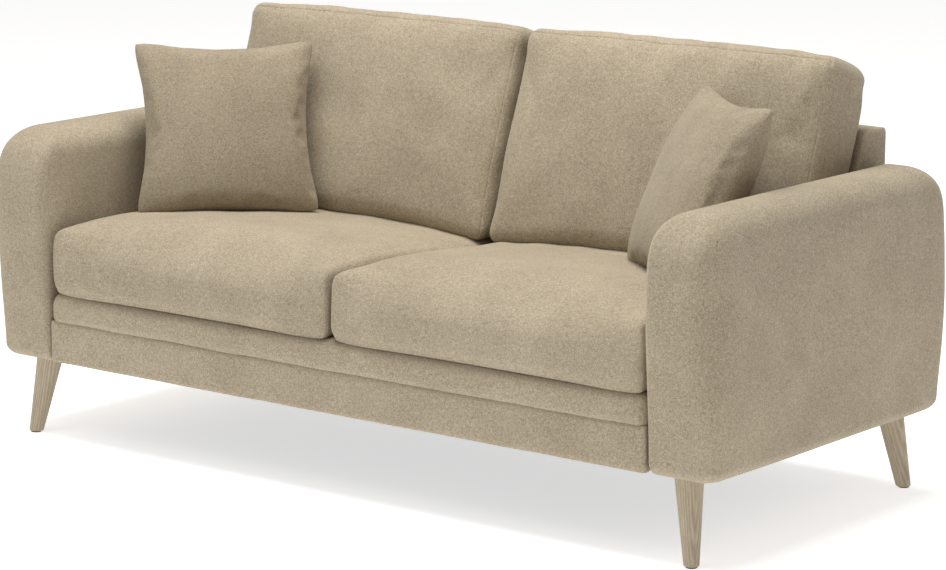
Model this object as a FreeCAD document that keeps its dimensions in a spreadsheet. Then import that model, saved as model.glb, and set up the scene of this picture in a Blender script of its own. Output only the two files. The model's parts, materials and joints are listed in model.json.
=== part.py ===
import FreeCAD
import Part

import math
import os

import Sketcher

# Sofa with two loose seat cushions, two back cushions and two scatter cushions.
# Millimetres. +X is the right arm as one faces the sofa, +Y is the back, +Z is up.
# The origin is on the floor, in the middle of the plan.

DIMENSIONS = {
    # whole sofa
    "overall_width": 1886,
    "overall_depth": 855,
    "leg_height": 168,
    # upholstery and fits
    "cover_thickness": 3,
    "fit_gap": 0.5,
    # arms
    "arm_thickness": 165,
    "arm_rise": 499,
    "arm_corner_radius": 85,
    "arm_rim_radius": 52,
    "arm_base_radius": 22,
    "arm_side_padding": 22,
    "arm_end_padding": 38,
    "arm_top_padding": 40,
    "arm_board": 4,
    "arm_board_rise": 12,
    "arm_post": 17,
    "arm_bottom_rail": 45,
    "arm_rail_corner": 25,
    "arm_top_rail": 20,
    # legs and their fittings
    "foot_radius": 14.8,
    "leg_top_radius": 28.2,
    "leg_splay": 11.5,
    "front_foot_setback": 55,
    "rear_foot_setback": 46,
    "foot_edge_radius": 2,
    "glide_height": 3,
    "glide_radius": 11,
    "glide_pin_radius": 1.6,
    "glide_pin_length": 14,
    "leg_bolt_radius": 4,
    "leg_bolt_depth": 32,
    "tee_nut_radius": 10,
    "tee_nut_flange": 1.5,
    "tee_nut_barrel_radius": 5.2,
    "tee_nut_barrel": 12,
    # seat frame
    "skirt_rise": 3,
    "rail_recess": 4,
    "rail_thickness": 25,
    "centre_rail_height": 60,
    "corner_block": 60,
    "panel_height": 81,
    "panel_setback": 22,
    "panel_radius": 6,
    "band_height": 70,
    "band_depth": 67,
    "band_setback": 20,
    "band_radius": 20,
    "band_wall": 19.5,
    "band_end_gap": 2,
    "deck_thickness": 24,
    "dust_cover_thickness": 1,
    "bolt_radius": 4,
    "bolt_head_radius": 9,
    "bolt_head": 5,
    "bolt_grip": 40,
    "bolt_rise": 15,
    "back_bolt_drop": 18,
    "back_bolt_pitch": 24,
    # seat springs
    "spring_wire_radius": 1.8,
    "spring_width": 48,
    "spring_loop_radius": 13,
    "spring_pitch": 140,
    "clip_width": 16,
    "clip_depth": 12,
    "clip_height": 8,
    "clip_wall": 1.2,
    # back frame
    "back_setback": 7,
    "back_rise": 57,
    "back_top_depth": 80,
    "back_base_depth": 48,
    "back_lean": 19,
    "back_edge_radius": 18,
    "back_padding": 25,
    "back_top_padding": 22,
    "back_post": 25,
    "back_rail": 20,
    "webbing_thickness": 2,
    "webbing_width": 50,
    # seat cushions
    "seat_thickness": 157.5,
    "seat_overhang": 5,
    "middle_gap": 2,
    "seat_arm_gap": 6,
    "seat_corner_radius": 48,
    "seat_rim_radius": 45,
    "cushion_clearance": 1.5,
    "zip_length": 600,
    "zip_height": 16,
    "slider_length": 12,
    "slider_height": 9,
    "slider_thickness": 4,
    "pull_length": 22,
    "pull_width": 6,
    "pull_thickness": 1.2,
    # back cushions
    "back_cushion_thickness": 165,
    "back_cushion_height": 416,
    "back_cushion_middle_gap": 5,
    "back_cushion_arm_gap": 9,
    "back_cushion_top_radius": 45,
    "back_cushion_bottom_radius": 36,
    "back_cushion_end_radius": 32,
    # scatter cushions
    "scatter_size": 360,
    "scatter_crown": 130,
    "scatter_corner": 10,
    "left_scatter_in": 177,
    "left_scatter_forward": 118,
    "left_scatter_turn": 44,
    "left_scatter_lean": 24,
    "right_scatter_in": 163,
    "right_scatter_forward": 98,
    "right_scatter_turn": -36,
    "right_scatter_lean": 25,
}

SPRINGS_PER_SEAT = 5
WEBBING_STRAPS = 5
BOLTS_PER_ARM = 3

# How far a cutting tool runs past the face it cuts, and the length a leg's blank has to spare at each end.
OVERCUT = 1
SAW_WASTE = 10
SIDES = {"left": -1, "right": 1}

doc = FreeCAD.newDocument("Sofa")
sheet = doc.addObject("Spreadsheet::Sheet", "Sizes")
for row, (alias, number) in enumerate(DIMENSIONS.items(), 1):
    sheet.set(f"A{row}", alias)
    sheet.set(f"B{row}", str(number))
    sheet.setAlias(f"B{row}", alias)
doc.recompute()

parts = []


class Size:
    """A length or angle that knows both its number and the expression that gives it."""

    def __init__(self, text, value):
        self.text = text
        self.value = value

    def __add__(self, other):
        other = as_size(other)
        return Size(f"({self.text} + {other.text})", self.value + other.value)

    def __sub__(self, other):
        other = as_size(other)
        return Size(f"({self.text} - {other.text})", self.value - other.value)

    def __mul__(self, other):
        other = as_size(other)
        return Size(f"({self.text} * {other.text})", self.value * other.value)

    def __truediv__(self, other):
        other = as_size(other)
        return Size(f"({self.text} / {other.text})", self.value / other.value)

    def __neg__(self):
        return Size(f"(0 - {self.text})", -self.value)

    def __radd__(self, other):
        return as_size(other) + self

    def __rsub__(self, other):
        return as_size(other) - self


def as_size(value):
    return value if isinstance(value, Size) else Size(f"{value:g}", value)


def of(alias):
    """The size with this alias in the sheet."""
    return Size(f"Sizes.{alias}", float(getattr(sheet, alias)))


def tangent(angle):
    return Size(f"tan({angle.text})", math.tan(math.radians(angle.value)))


def cosine(angle):
    return Size(f"cos({angle.text})", math.cos(math.radians(angle.value)))


def sine(angle):
    return Size(f"sin({angle.text})", math.sin(math.radians(angle.value)))


def root(square):
    return Size(f"sqrt({square.text})", math.sqrt(square.value))


def bind(thing, path, value):
    thing.setExpression(path, as_size(value).text)


def place(thing, x, y, z):
    bind(thing, "Placement.Base.x", x)
    bind(thing, "Placement.Base.y", y)
    bind(thing, "Placement.Base.z", z)
    return thing


def add(kind, label):
    thing = doc.addObject(kind, label)
    thing.Label = label
    return thing


def keep(thing):
    """Marks a finished piece of the sofa."""
    parts.append(thing)
    return thing


# ---- building blocks ----


def board(label, x_span, y_span, z_span):
    """A box between two values on each axis."""
    thing = add("Part::Box", label)
    for path, (low, high) in zip(("Length", "Width", "Height"), (x_span, y_span, z_span)):
        bind(thing, path, as_size(high) - low)
    return place(thing, x_span[0], y_span[0], z_span[0])


def rod(label, radius, x_or_span, y_or_span, z_or_span):
    """A cylinder along the one axis that is given as a span."""
    thing = add("Part::Cylinder", label)
    turns = (
        FreeCAD.Rotation(FreeCAD.Vector(0, 1, 0), 90),
        FreeCAD.Rotation(FreeCAD.Vector(1, 0, 0), -90),
        FreeCAD.Rotation(),
    )
    start = []
    for turn, where in zip(turns, (x_or_span, y_or_span, z_or_span)):
        if isinstance(where, tuple):
            thing.Placement = FreeCAD.Placement(FreeCAD.Vector(), turn)
            bind(thing, "Height", as_size(where[1]) - where[0])
            where = where[0]
        start.append(where)
    bind(thing, "Radius", radius)
    return place(thing, *start)


def group(label, things):
    thing = add("Part::Compound", label)
    thing.Links = things
    return thing


def cut(label, base, *tools):
    thing = add("Part::Cut", label)
    thing.Base = base
    thing.Tool = tools[0] if len(tools) == 1 else group(f"{label}_tools", list(tools))
    return thing


def fuse(label, first, second):
    thing = add("Part::Fuse", label)
    thing.Base = first
    thing.Tool = second
    return thing


def common(label, first, second):
    thing = add("Part::Common", label)
    thing.Base = first
    thing.Tool = second
    return thing


def new_sketch(body, plane):
    sketch = body.newObject("Sketcher::SketchObject", f"{body.Name}_sketch")
    support = next(f for f in body.Origin.OriginFeatures if f.Role == plane)
    sketch.AttachmentSupport = [(support, "")]
    sketch.MapMode = "FlatFace"
    return sketch


def outline(sketch, points):
    """A closed polygon whose corners are held at their distances from the sketch's origin."""
    count = len(points)
    corners = [FreeCAD.Vector(across.value, up.value, 0) for across, up in points]
    for i in range(count):
        sketch.addGeometry(Part.LineSegment(corners[i], corners[(i + 1) % count]), False)
    for i in range(count):
        sketch.addConstraint(Sketcher.Constraint("Coincident", i, 2, (i + 1) % count, 1))
    for i, (across, up) in enumerate(points):
        for kind, value in (("DistanceX", across), ("DistanceY", up)):
            index = sketch.addConstraint(Sketcher.Constraint(kind, -1, 1, i, 1, value.value))
            bind(sketch, f"Constraints[{index}]", value)


def rectangle(sketch, width, depth):
    """A rectangle with one corner on the sketch's origin."""
    across, up = width.value, depth.value
    corners = [(0, 0), (across, 0), (across, up), (0, up)]
    corners = [FreeCAD.Vector(x, y, 0) for x, y in corners]
    for i in range(4):
        sketch.addGeometry(Part.LineSegment(corners[i], corners[(i + 1) % 4]), False)
    for i in range(4):
        sketch.addConstraint(Sketcher.Constraint("Coincident", i, 2, (i + 1) % 4, 1))
    for kind, line in (("Horizontal", 0), ("Vertical", 1), ("Horizontal", 2), ("Vertical", 3)):
        sketch.addConstraint(Sketcher.Constraint(kind, line))
    sketch.addConstraint(Sketcher.Constraint("Coincident", 0, 1, -1, 1))
    for kind, line, value in (("DistanceX", 0, width), ("DistanceY", 1, depth)):
        index = sketch.addConstraint(Sketcher.Constraint(kind, line, 1, line, 2, value.value))
        bind(sketch, f"Constraints[{index}]", value)


def padded(body, sketch, length):
    pad = body.newObject("PartDesign::Pad", f"{body.Name}_pad")
    pad.Profile = sketch
    bind(pad, "Length", length)
    sketch.Visibility = False
    return pad


def rounded(body, base, roundings):
    """Rounds the chosen edges of the body, one radius at a time."""
    for step, (wanted, radius) in enumerate(roundings):
        doc.recompute()
        whole = base.Shape.BoundBox
        names = [f"Edge{i}" for i, edge in enumerate(base.Shape.Edges, 1) if wanted(edge.BoundBox, whole)]
        fillet = body.newObject("PartDesign::Fillet", f"{body.Name}_rounding{step}")
        fillet.Base = (base, names)
        bind(fillet, "Radius", radius)
        base = fillet
    return body


def soft_box(label, x_span, y_span, z_span, roundings):
    """A block padded up from its plan, with rounded edges."""
    body = add("PartDesign::Body", label)
    sketch = new_sketch(body, "XY_Plane")
    rectangle(sketch, as_size(x_span[1]) - x_span[0], as_size(y_span[1]) - y_span[0])
    pad = padded(body, sketch, as_size(z_span[1]) - z_span[0])
    rounded(body, pad, roundings)
    return place(body, x_span[0], y_span[0], z_span[0])


def profile_body(label, points, x_span, roundings=()):
    """A side profile, given as (y, z) corners, padded across the sofa."""
    body = add("PartDesign::Body", label)
    sketch = new_sketch(body, "YZ_Plane")
    outline(sketch, [(as_size(y), as_size(z)) for y, z in points])
    pad = padded(body, sketch, as_size(x_span[1]) - x_span[0])
    rounded(body, pad, roundings)
    bind(body, "Placement.Base.x", x_span[0])
    return body


# Which edges a rounding takes, from an edge's box and the whole body's box.
FLAT = 0.01


def runs_along(axis):
    others = [a for a in "XYZ" if a != axis]
    return lambda edge, whole: all(getattr(edge, a + "Length") < FLAT for a in others)


def lies_at(axis, side):
    """Edges in the plane of the body's lowest (Min) or highest (Max) value on an axis."""
    name = axis + side
    return lambda edge, whole: (
        getattr(edge, axis + "Length") < FLAT and abs(getattr(edge, name) - getattr(whole, name)) < FLAT
    )


def either(*tests):
    return lambda edge, whole: any(test(edge, whole) for test in tests)


def both(*tests):
    return lambda edge, whole: all(test(edge, whole) for test in tests)


def but_not(test):
    return lambda edge, whole: not test(edge, whole)


def at_height(z):
    return lambda edge, whole: abs(edge.ZMin - z.value) < FLAT and edge.ZLength < FLAT


def grown(span, inset):
    """A span drawn in by the inset at both ends."""
    return (as_size(span[0]) + inset, as_size(span[1]) - inset)


def mirrored_span(side, near, far):
    """The x span from near to far of the middle line, on one side of the sofa."""
    return (near, far) if side > 0 else (-far, -near)


# ---- levels and lines that several pieces share ----

wall = of("cover_thickness")
half_width = of("overall_width") / 2
inner_x = half_width - of("arm_thickness")
arm_middle_x = half_width - of("arm_thickness") / 2
arm_front = -(of("overall_depth") / 2)
arm_rear = of("overall_depth") / 2
arm_bottom = of("leg_height")
arm_top = arm_bottom + of("arm_rise")

skirt_bottom = arm_bottom + of("skirt_rise")
rail_bottom = skirt_bottom + of("rail_recess")
band_bottom = skirt_bottom + of("panel_height")
deck_top = band_bottom + of("band_height")
deck_bottom = deck_top - of("deck_thickness")
rail_top = deck_bottom - of("clip_height")
spring_z = deck_bottom - of("clip_wall") - of("spring_wire_radius")
panel_front = arm_front + of("panel_setback")
band_front = arm_front + of("band_setback")
band_rear = band_front + of("band_depth")
front_rail_front = band_front + of("band_wall")
front_rail_rear = front_rail_front + of("rail_thickness")

back_rear = arm_rear - of("back_setback")
back_top = arm_top + of("back_rise")
back_foot_front = back_rear - of("back_base_depth")
rear_rail_front = back_foot_front - of("rail_thickness")
lean = of("back_lean")


def back_face(z, inset=0):
    """y of the leaning front of the back frame at height z, moved into the frame by the inset."""
    return back_rear - of("back_top_depth") - (back_top - z) * tangent(lean) + as_size(inset) / cosine(lean)


seat_bottom = deck_top + of("fit_gap")
seat_top = seat_bottom + of("seat_thickness")
seat_front = band_front - of("seat_overhang")
seat_rear = back_face(deck_top) - of("cushion_clearance")
back_cushion_bottom = seat_top + of("fit_gap")
back_cushion_top = back_cushion_bottom + of("back_cushion_height")


# ---- legs ----


def leg_positions():
    """Name, x and y signs, and the middle of each foot."""
    for row, sy, y in (
        ("front", -1, arm_front + of("front_foot_setback")),
        ("rear", 1, arm_rear - of("rear_foot_setback")),
    ):
        for side, sx in SIDES.items():
            yield f"{row}_{side}", sx, sy, arm_middle_x * sx, y


def leg_axis_shift(height):
    """How far the leg's middle line moves inwards, on x and on y, in this height."""
    return tangent(of("leg_splay")) * height / math.sqrt(2)


def make_leg(name, sx, sy, x, y):
    """A tapered leg, splayed to its corner, sawn level at both ends, with bolt and glide holes."""
    taper = (of("leg_top_radius") - of("foot_radius")) / of("leg_height")
    slope = cosine(of("leg_splay"))
    cone = add("Part::Cone", f"leg_{name}_taper")
    bind(cone, "Radius1", of("foot_radius") - taper * SAW_WASTE)
    bind(cone, "Radius2", of("leg_top_radius") + taper * SAW_WASTE)
    bind(cone, "Height", (of("leg_height") + 2 * SAW_WASTE) / slope)
    cone.Placement = FreeCAD.Placement(FreeCAD.Vector(), FreeCAD.Rotation(FreeCAD.Vector(sy, -sx, 0), 1))
    bind(cone, "Placement.Rotation.Angle", of("leg_splay"))
    place(cone, x + leg_axis_shift(SAW_WASTE) * sx, y + leg_axis_shift(SAW_WASTE) * sy, -SAW_WASTE)
    reach = of("leg_top_radius") * 2  # the slab is wider than the cone on every side
    slab = board(
        f"leg_{name}_slab", (x - reach, x + reach), (y - reach, y + reach), (of("glide_height"), arm_bottom)
    )
    blank = common(f"leg_{name}_blank", cone, slab)
    doc.recompute()
    foot = add("Part::Fillet", f"leg_{name}_foot")
    foot.Base = blank
    radius = sheet.foot_edge_radius
    low = sheet.glide_height + FLAT
    rims = [i for i, edge in enumerate(blank.Shape.Edges, 1) if edge.BoundBox.ZMax < low]
    foot.Edges = [(i, radius, radius) for i in rims]
    top_x = x - leg_axis_shift(of("leg_height")) * sx
    top_y = y - leg_axis_shift(of("leg_height")) * sy
    bolt_hole = rod(
        f"leg_{name}_bolt_hole",
        of("leg_bolt_radius"),
        top_x,
        top_y,
        (arm_bottom - of("leg_bolt_depth"), arm_bottom + SAW_WASTE),
    )
    pin_span = (as_size(0), of("glide_height") + of("glide_pin_length"))
    pin_hole = rod(f"leg_{name}_pin_hole", of("glide_pin_radius"), x, y, pin_span)
    keep(cut(f"leg_{name}", foot, bolt_hole, pin_hole))
    return top_x, top_y


def make_leg_fittings(name, x, y, top_x, top_y):
    """The glide under a foot, and the hanger bolt and tee nut over a leg."""
    pin_span = (as_size(0), of("glide_height") + of("glide_pin_length"))
    disc = rod(f"glide_{name}_disc", of("glide_radius"), x, y, (as_size(0), of("glide_height")))
    glide = fuse(f"glide_{name}", disc, rod(f"glide_{name}_pin", of("glide_pin_radius"), x, y, pin_span))
    bolt_span = (arm_bottom - of("leg_bolt_depth"), tee_nut_seat)
    bolt = rod(f"bolt_{name}", of("leg_bolt_radius"), top_x, top_y, bolt_span)
    barrel_bottom = tee_nut_seat - of("tee_nut_barrel")
    flange_top = tee_nut_seat + of("tee_nut_flange")
    flange = rod(f"nut_{name}_flange", of("tee_nut_radius"), top_x, top_y, (tee_nut_seat, flange_top))
    barrel_span = (barrel_bottom, tee_nut_seat)
    barrel = rod(f"nut_{name}_barrel", of("tee_nut_barrel_radius"), top_x, top_y, barrel_span)
    bore_span = (barrel_bottom - OVERCUT, flange_top + OVERCUT)
    bore = rod(f"nut_{name}_bore", of("leg_bolt_radius"), top_x, top_y, bore_span)
    nut = cut(f"nut_{name}", fuse(f"nut_{name}_blank", flange, barrel), bore)
    return glide, bolt, nut, group(f"leg_hole_{name}", [bolt, barrel])


# The tee nuts sit on the arm's bottom rail.
tee_nut_seat = arm_bottom + wall + of("arm_bottom_rail")

leg_holes = {}
glides = []
leg_bolts = []
tee_nuts = []
for name, sx, sy, x, y in leg_positions():
    top_x, top_y = make_leg(name, sx, sy, x, y)
    glide, bolt, nut, hole = make_leg_fittings(name, x, y, top_x, top_y)
    glides.append(glide)
    leg_bolts.append(bolt)
    tee_nuts.append(nut)
    leg_holes.setdefault("left" if sx < 0 else "right", []).append(hole)
keep(group("leg_glides", glides))
keep(group("leg_bolts", leg_bolts))
keep(group("tee_nuts", tee_nuts))


# ---- bolts that hold the arms and the back to the seat frame ----


def make_bolt(label, x, y, z, head_first):
    """A bolt whose shank and head are spans on one axis; the head sits inside the seat frame."""
    shank = rod(f"{label}_shank", of("bolt_radius"), x, y, z)
    spans = [where for where in (x, y, z) if isinstance(where, tuple)]
    low, high = spans[0]
    head_span = (low - of("bolt_head"), low) if head_first else (high, high + of("bolt_head"))
    head_at = [head_span if isinstance(where, tuple) else where for where in (x, y, z)]
    head = rod(f"{label}_head", of("bolt_head_radius"), *head_at)
    return fuse(label, head, shank)


def arm_bolts(side, sx):
    """Bolts through a side rail into the arm's bottom rail, spread along the side rail."""
    first = front_rail_rear + of("corner_block") + of("rail_thickness")
    last = rear_rail_front - of("corner_block") - of("rail_thickness")
    near = inner_x - of("rail_thickness")
    far = inner_x + wall + of("arm_side_padding") + of("arm_board") + of("bolt_grip")
    height = rail_bottom + of("bolt_rise")
    for i in range(BOLTS_PER_ARM):
        y = first + (last - first) * i / (BOLTS_PER_ARM - 1)
        yield make_bolt(f"arm_bolt_{side}_{i}", mirrored_span(sx, near, far), y, height, sx > 0)


def post_positions():
    """x span of each back post; the outer ones stand inside the side rails."""
    end = inner_x - of("rail_thickness") - of("bolt_head_radius") - of("rail_recess")
    half = of("back_post") / 2
    yield "left", (-end, -end + of("back_post"))
    yield "centre", (-half, half)
    yield "right", (end - of("back_post"), end)


def back_bolts():
    """Two bolts, one above the other, through the rear rail into each back post."""
    span = (rear_rail_front, back_foot_front + wall + of("bolt_grip") / 2)
    for name, (low, high) in post_positions():
        top = rail_top - of("back_bolt_drop")
        for row, z in (("high", top), ("low", top - of("back_bolt_pitch"))):
            yield make_bolt(f"back_bolt_{name}_{row}", (low + high) / 2, span, z, True)


bolts = {side: list(arm_bolts(side, sx)) for side, sx in SIDES.items()}
bolts["back"] = list(back_bolts())
keep(group("arm_bolts", bolts["left"] + bolts["right"]))
keep(group("back_bolts", bolts["back"]))


# ---- arms ----


def arm_shape(label, sx, inset):
    """The outer form of an arm, drawn in by the inset all round."""
    inset = as_size(inset)
    side_faces = both(either(lies_at("X", "Min"), lies_at("X", "Max")), but_not(lies_at("Z", "Min")))
    return soft_box(
        label,
        grown(mirrored_span(sx, inner_x, half_width), inset),
        grown((arm_front, arm_rear), inset),
        grown((arm_bottom, arm_top), inset),
        [
            (both(runs_along("X"), lies_at("Z", "Max")), of("arm_corner_radius") - inset),
            (side_faces, of("arm_rim_radius") - inset),
            (lies_at("Z", "Min"), of("arm_base_radius") - inset),
        ],
    )


def make_arm(side, sx):
    holes = leg_holes[side] + bolts[side]
    outer = arm_shape(f"arm_{side}_outer", sx, 0)
    inner = arm_shape(f"arm_{side}_inner", sx, wall)
    keep(cut(f"arm_cover_{side}", outer, inner, *holes))

    side_inset = wall + of("arm_side_padding")
    end_inset = wall + of("arm_end_padding")
    x_span = grown(mirrored_span(sx, inner_x, half_width), side_inset)
    y_span = grown((arm_front, arm_rear), end_inset)
    floor = arm_bottom + wall
    ceiling = arm_top - wall - of("arm_top_padding")
    below = of("arm_base_radius")
    cavity = board(f"arm_{side}_cavity", x_span, y_span, (floor - below, ceiling))
    filling = arm_shape(f"arm_{side}_filling", sx, wall + of("fit_gap"))
    keep(cut(f"arm_padding_{side}", filling, cavity, *bolts[side]))

    board_in = of("arm_board")
    board_z = (floor + of("arm_board_rise"), ceiling)
    boards = [
        board(f"arm_{side}_board_low", (x_span[0], x_span[0] + board_in), y_span, board_z),
        board(f"arm_{side}_board_high", (x_span[1] - board_in, x_span[1]), y_span, board_z),
    ]
    keep(cut(f"arm_side_boards_{side}", group(f"arm_{side}_boards", boards), *bolts[side]))

    timber_x = grown(x_span, board_in)
    rail_bottom_top = floor + of("arm_bottom_rail")
    rail_top_bottom = ceiling - of("arm_top_rail")
    bottom_rail = soft_box(
        f"arm_{side}_bottom_plank", timber_x, y_span, (floor, rail_bottom_top),
        [(runs_along("Z"), of("arm_rail_corner"))],
    )
    keep(cut(f"arm_bottom_rail_{side}", bottom_rail, *holes))
    keep(board(f"arm_top_rail_{side}", timber_x, y_span, (rail_top_bottom, ceiling)))
    post_z = (rail_bottom_top, rail_top_bottom)
    keep(board(f"arm_front_post_{side}", timber_x, (y_span[0], y_span[0] + of("arm_post")), post_z))
    keep(board(f"arm_rear_post_{side}", timber_x, (y_span[1] - of("arm_post"), y_span[1]), post_z))


for side, sx in SIDES.items():
    make_arm(side, sx)


# ---- seat frame ----

rail_x = (-inner_x, inner_x)
rail_z = (rail_bottom, rail_top)


def make_seat_rails():
    keep(board("front_rail", rail_x, (front_rail_front, front_rail_rear), rail_z))
    rear = board("rear_rail_plank", rail_x, (rear_rail_front, back_foot_front), rail_z)
    keep(cut("rear_rail", rear, *bolts["back"]))
    between = (front_rail_rear, rear_rail_front)
    for side, sx in SIDES.items():
        span = mirrored_span(sx, inner_x - of("rail_thickness"), inner_x)
        plank = board(f"side_rail_{side}_plank", span, between, (rail_bottom, deck_bottom))
        keep(cut(f"side_rail_{side}", plank, *bolts[side]))
    half = of("rail_thickness") / 2
    keep(board("centre_rail", (-half, half), between, (rail_bottom, rail_bottom + of("centre_rail_height"))))


def corner_block(side, sx, row, sy, y):
    """A triangular glue block in one corner of the seat frame."""
    body = add("PartDesign::Body", f"corner_block_{row}_{side}")
    sketch = new_sketch(body, "XY_Plane")
    x = (inner_x - of("rail_thickness")) * sx
    leg = of("corner_block")
    points = [(x, y), (x - leg * sx, y), (x, y - leg * sy)]
    outline(sketch, points if sx * sy < 0 else points[::-1])
    padded(body, sketch, of("corner_block"))
    bind(body, "Placement.Base.z", rail_bottom)
    return body


def make_corner_blocks():
    rows = (("front", -1, front_rail_rear), ("rear", 1, rear_rail_front))
    blocks = [corner_block(side, sx, row, sy, y) for row, sy, y in rows for side, sx in SIDES.items()]
    keep(group("corner_blocks", blocks))


def band_shape(label, inset):
    """The puffy upper band along the front edge of the seat deck."""
    inset = as_size(inset)
    front_edges = both(runs_along("X"), lies_at("Y", "Min"))
    x_span = grown((-(inner_x - of("band_end_gap")), inner_x - of("band_end_gap")), inset)
    y_span = grown((band_front, band_rear), inset)
    return soft_box(label, x_span, y_span, grown((band_bottom, deck_top), inset), [
        (front_edges, of("band_radius") - inset),
    ])


def make_front_upholstery():
    """Lower panel and upper band; the band is an angle in section, over the rail and the spring ends."""
    end = inner_x - of("band_end_gap")
    panel_y = (panel_front, front_rail_front)
    front_edges = both(runs_along("X"), lies_at("Y", "Min"))
    keep(soft_box("front_panel", (-end, end), panel_y, (skirt_bottom, band_bottom), [
        (front_edges, of("panel_radius")),
    ]))
    space = board(
        "band_space",
        (-inner_x, inner_x),
        (front_rail_front, band_rear + of("band_depth")),
        (band_bottom - OVERCUT, deck_bottom + of("fit_gap")),
    )
    outer = cut("front_band_outer", band_shape("band_outer", 0), space)
    keep(cut("front_band_cover", outer, band_shape("band_inner", wall)))
    filling = band_shape("band_filling", wall + of("fit_gap"))
    keep(cut("front_band_padding", filling, space))


def make_deck():
    end = inner_x - of("band_end_gap")
    keep(board("deck_pad", (-end, end), (band_rear, back_foot_front), (deck_bottom, deck_top)))
    dust_z = (rail_bottom - of("dust_cover_thickness"), rail_bottom)
    keep(board("dust_cover", (-end, end), (front_rail_front, back_foot_front), dust_z))


# ---- seat springs ----


def spring_positions():
    """x of each spring's middle, in an even row over each half of the seat."""
    pitch = of("spring_pitch")
    for side, sx in SIDES.items():
        middle = (inner_x - of("rail_thickness")) / 2 * sx
        for i in range(SPRINGS_PER_SEAT):
            yield f"{side}_{i}", middle + pitch * (i - (SPRINGS_PER_SEAT - 1) / 2)


def make_spring(x, y_first, y_last):
    """A flat zigzag of wire: straight runs across, joined by half turns, from front to rear."""
    radius_wanted = sheet.spring_loop_radius
    turns = round((y_last - y_first) / (2 * radius_wanted))
    radius = (y_last - y_first) / (2 * turns)
    reach = sheet.spring_width / 2 - radius
    z = spring_z.value
    edges = []
    for i in range(turns + 1):
        y = y_first + 2 * radius * i
        sign = 1 if i % 2 == 0 else -1
        start = FreeCAD.Vector(x - reach * sign, y, z)
        end = FreeCAD.Vector(x + reach * sign, y, z)
        edges.append(Part.LineSegment(start, end).toShape())
        if i < turns:
            middle = FreeCAD.Vector(x + (reach + radius) * sign, y + radius, z)
            turned = FreeCAD.Vector(x + reach * sign, y + 2 * radius, z)
            edges.append(Part.Arc(end, middle, turned).toShape())
    path = Part.Wire(edges)
    start = FreeCAD.Vector(x - reach, y_first, z)
    ring = Part.Wire([Part.makeCircle(sheet.spring_wire_radius, start, FreeCAD.Vector(1, 0, 0))])
    return path.makePipeShell([ring], True, False)


def make_springs():
    y_first = (front_rail_front + front_rail_rear).value / 2
    y_last = (rear_rail_front + back_foot_front).value / 2
    springs = add("Part::Feature", "seat_springs")
    springs.Shape = Part.makeCompound([make_spring(x.value, y_first, y_last) for _, x in spring_positions()])
    keep(springs)


def make_clips():
    """A clip over each end of each spring, with the wire's end run through it."""
    clips = []
    half_x = of("clip_width") / 2
    half_y = of("clip_depth") / 2
    rows = (
        ("front", (front_rail_front + front_rail_rear) / 2),
        ("rear", (rear_rail_front + back_foot_front) / 2),
    )
    for row, y in rows:
        for name, x in spring_positions():
            label = f"clip_{row}_{name}"
            block = board(
                f"{label}_block",
                (x - half_x, x + half_x),
                (y - half_y, y + half_y),
                (rail_top, deck_bottom),
            )
            wire_span = (x - half_x - OVERCUT, x + half_x + OVERCUT)
            wire = rod(f"{label}_wire", of("spring_wire_radius"), wire_span, y, spring_z)
            clips.append(cut(label, block, wire))
    keep(group("spring_clips", clips))


make_seat_rails()
make_corner_blocks()
make_front_upholstery()
make_deck()
make_springs()
make_clips()


# ---- back frame ----


def back_profile(inset, front_inset, top_inset, bottom):
    """(y, z) corners of the back: a leaning front above the deck, a narrow foot behind the rear rail."""
    rear = back_rear - inset
    top = back_top - top_inset
    foot = back_foot_front + inset
    ledge = deck_top + inset
    return [
        (foot, bottom),
        (rear, bottom),
        (rear, top),
        (back_face(top, front_inset), top),
        (back_face(ledge, front_inset), ledge),
        (foot, ledge),
    ]


def back_shape(label, inset):
    inset = as_size(inset)
    return profile_body(
        label,
        back_profile(inset, inset, inset, skirt_bottom + inset),
        grown((-inner_x, inner_x), inset),
        [(both(runs_along("X"), lies_at("Z", "Max")), of("back_edge_radius") - inset)],
    )


def make_back():
    keep(cut("back_cover", back_shape("back_outer", 0), back_shape("back_inner", wall), *bolts["back"]))

    front_inset = wall + of("back_padding")
    top_inset = wall + of("back_top_padding")
    ends = (-(inner_x - wall), inner_x - wall)
    cavity = profile_body(
        "back_cavity",
        back_profile(wall, front_inset, top_inset, skirt_bottom + wall),
        grown(ends, -of("rail_thickness")),
    )
    keep(cut("back_padding", back_shape("back_filling", wall + of("fit_gap")), cavity))

    # timber stands behind the webbing
    timber_inset = front_inset + of("webbing_thickness")
    timber_top = back_top - top_inset
    timber_bottom = skirt_bottom + wall
    shelf = timber_bottom + of("back_rail")
    cap = timber_top - of("back_rail")
    rear = back_rear - wall
    foot = back_foot_front + wall
    for name, span in post_positions():
        profile = [
            (foot, shelf),
            (rear, shelf),
            (rear, cap),
            (back_face(cap, timber_inset), cap),
            (back_face(deck_top + wall, timber_inset), deck_top + wall),
            (foot, deck_top + wall),
        ]
        keep(cut(f"back_post_{name}", profile_body(f"back_post_{name}_plank", profile, span), *bolts["back"]))
    keep(board("back_top_rail", ends, (back_face(timber_top, timber_inset), rear), (cap, timber_top)))
    keep(board("back_bottom_rail", ends, (foot, rear), (timber_bottom, shelf)))


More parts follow.
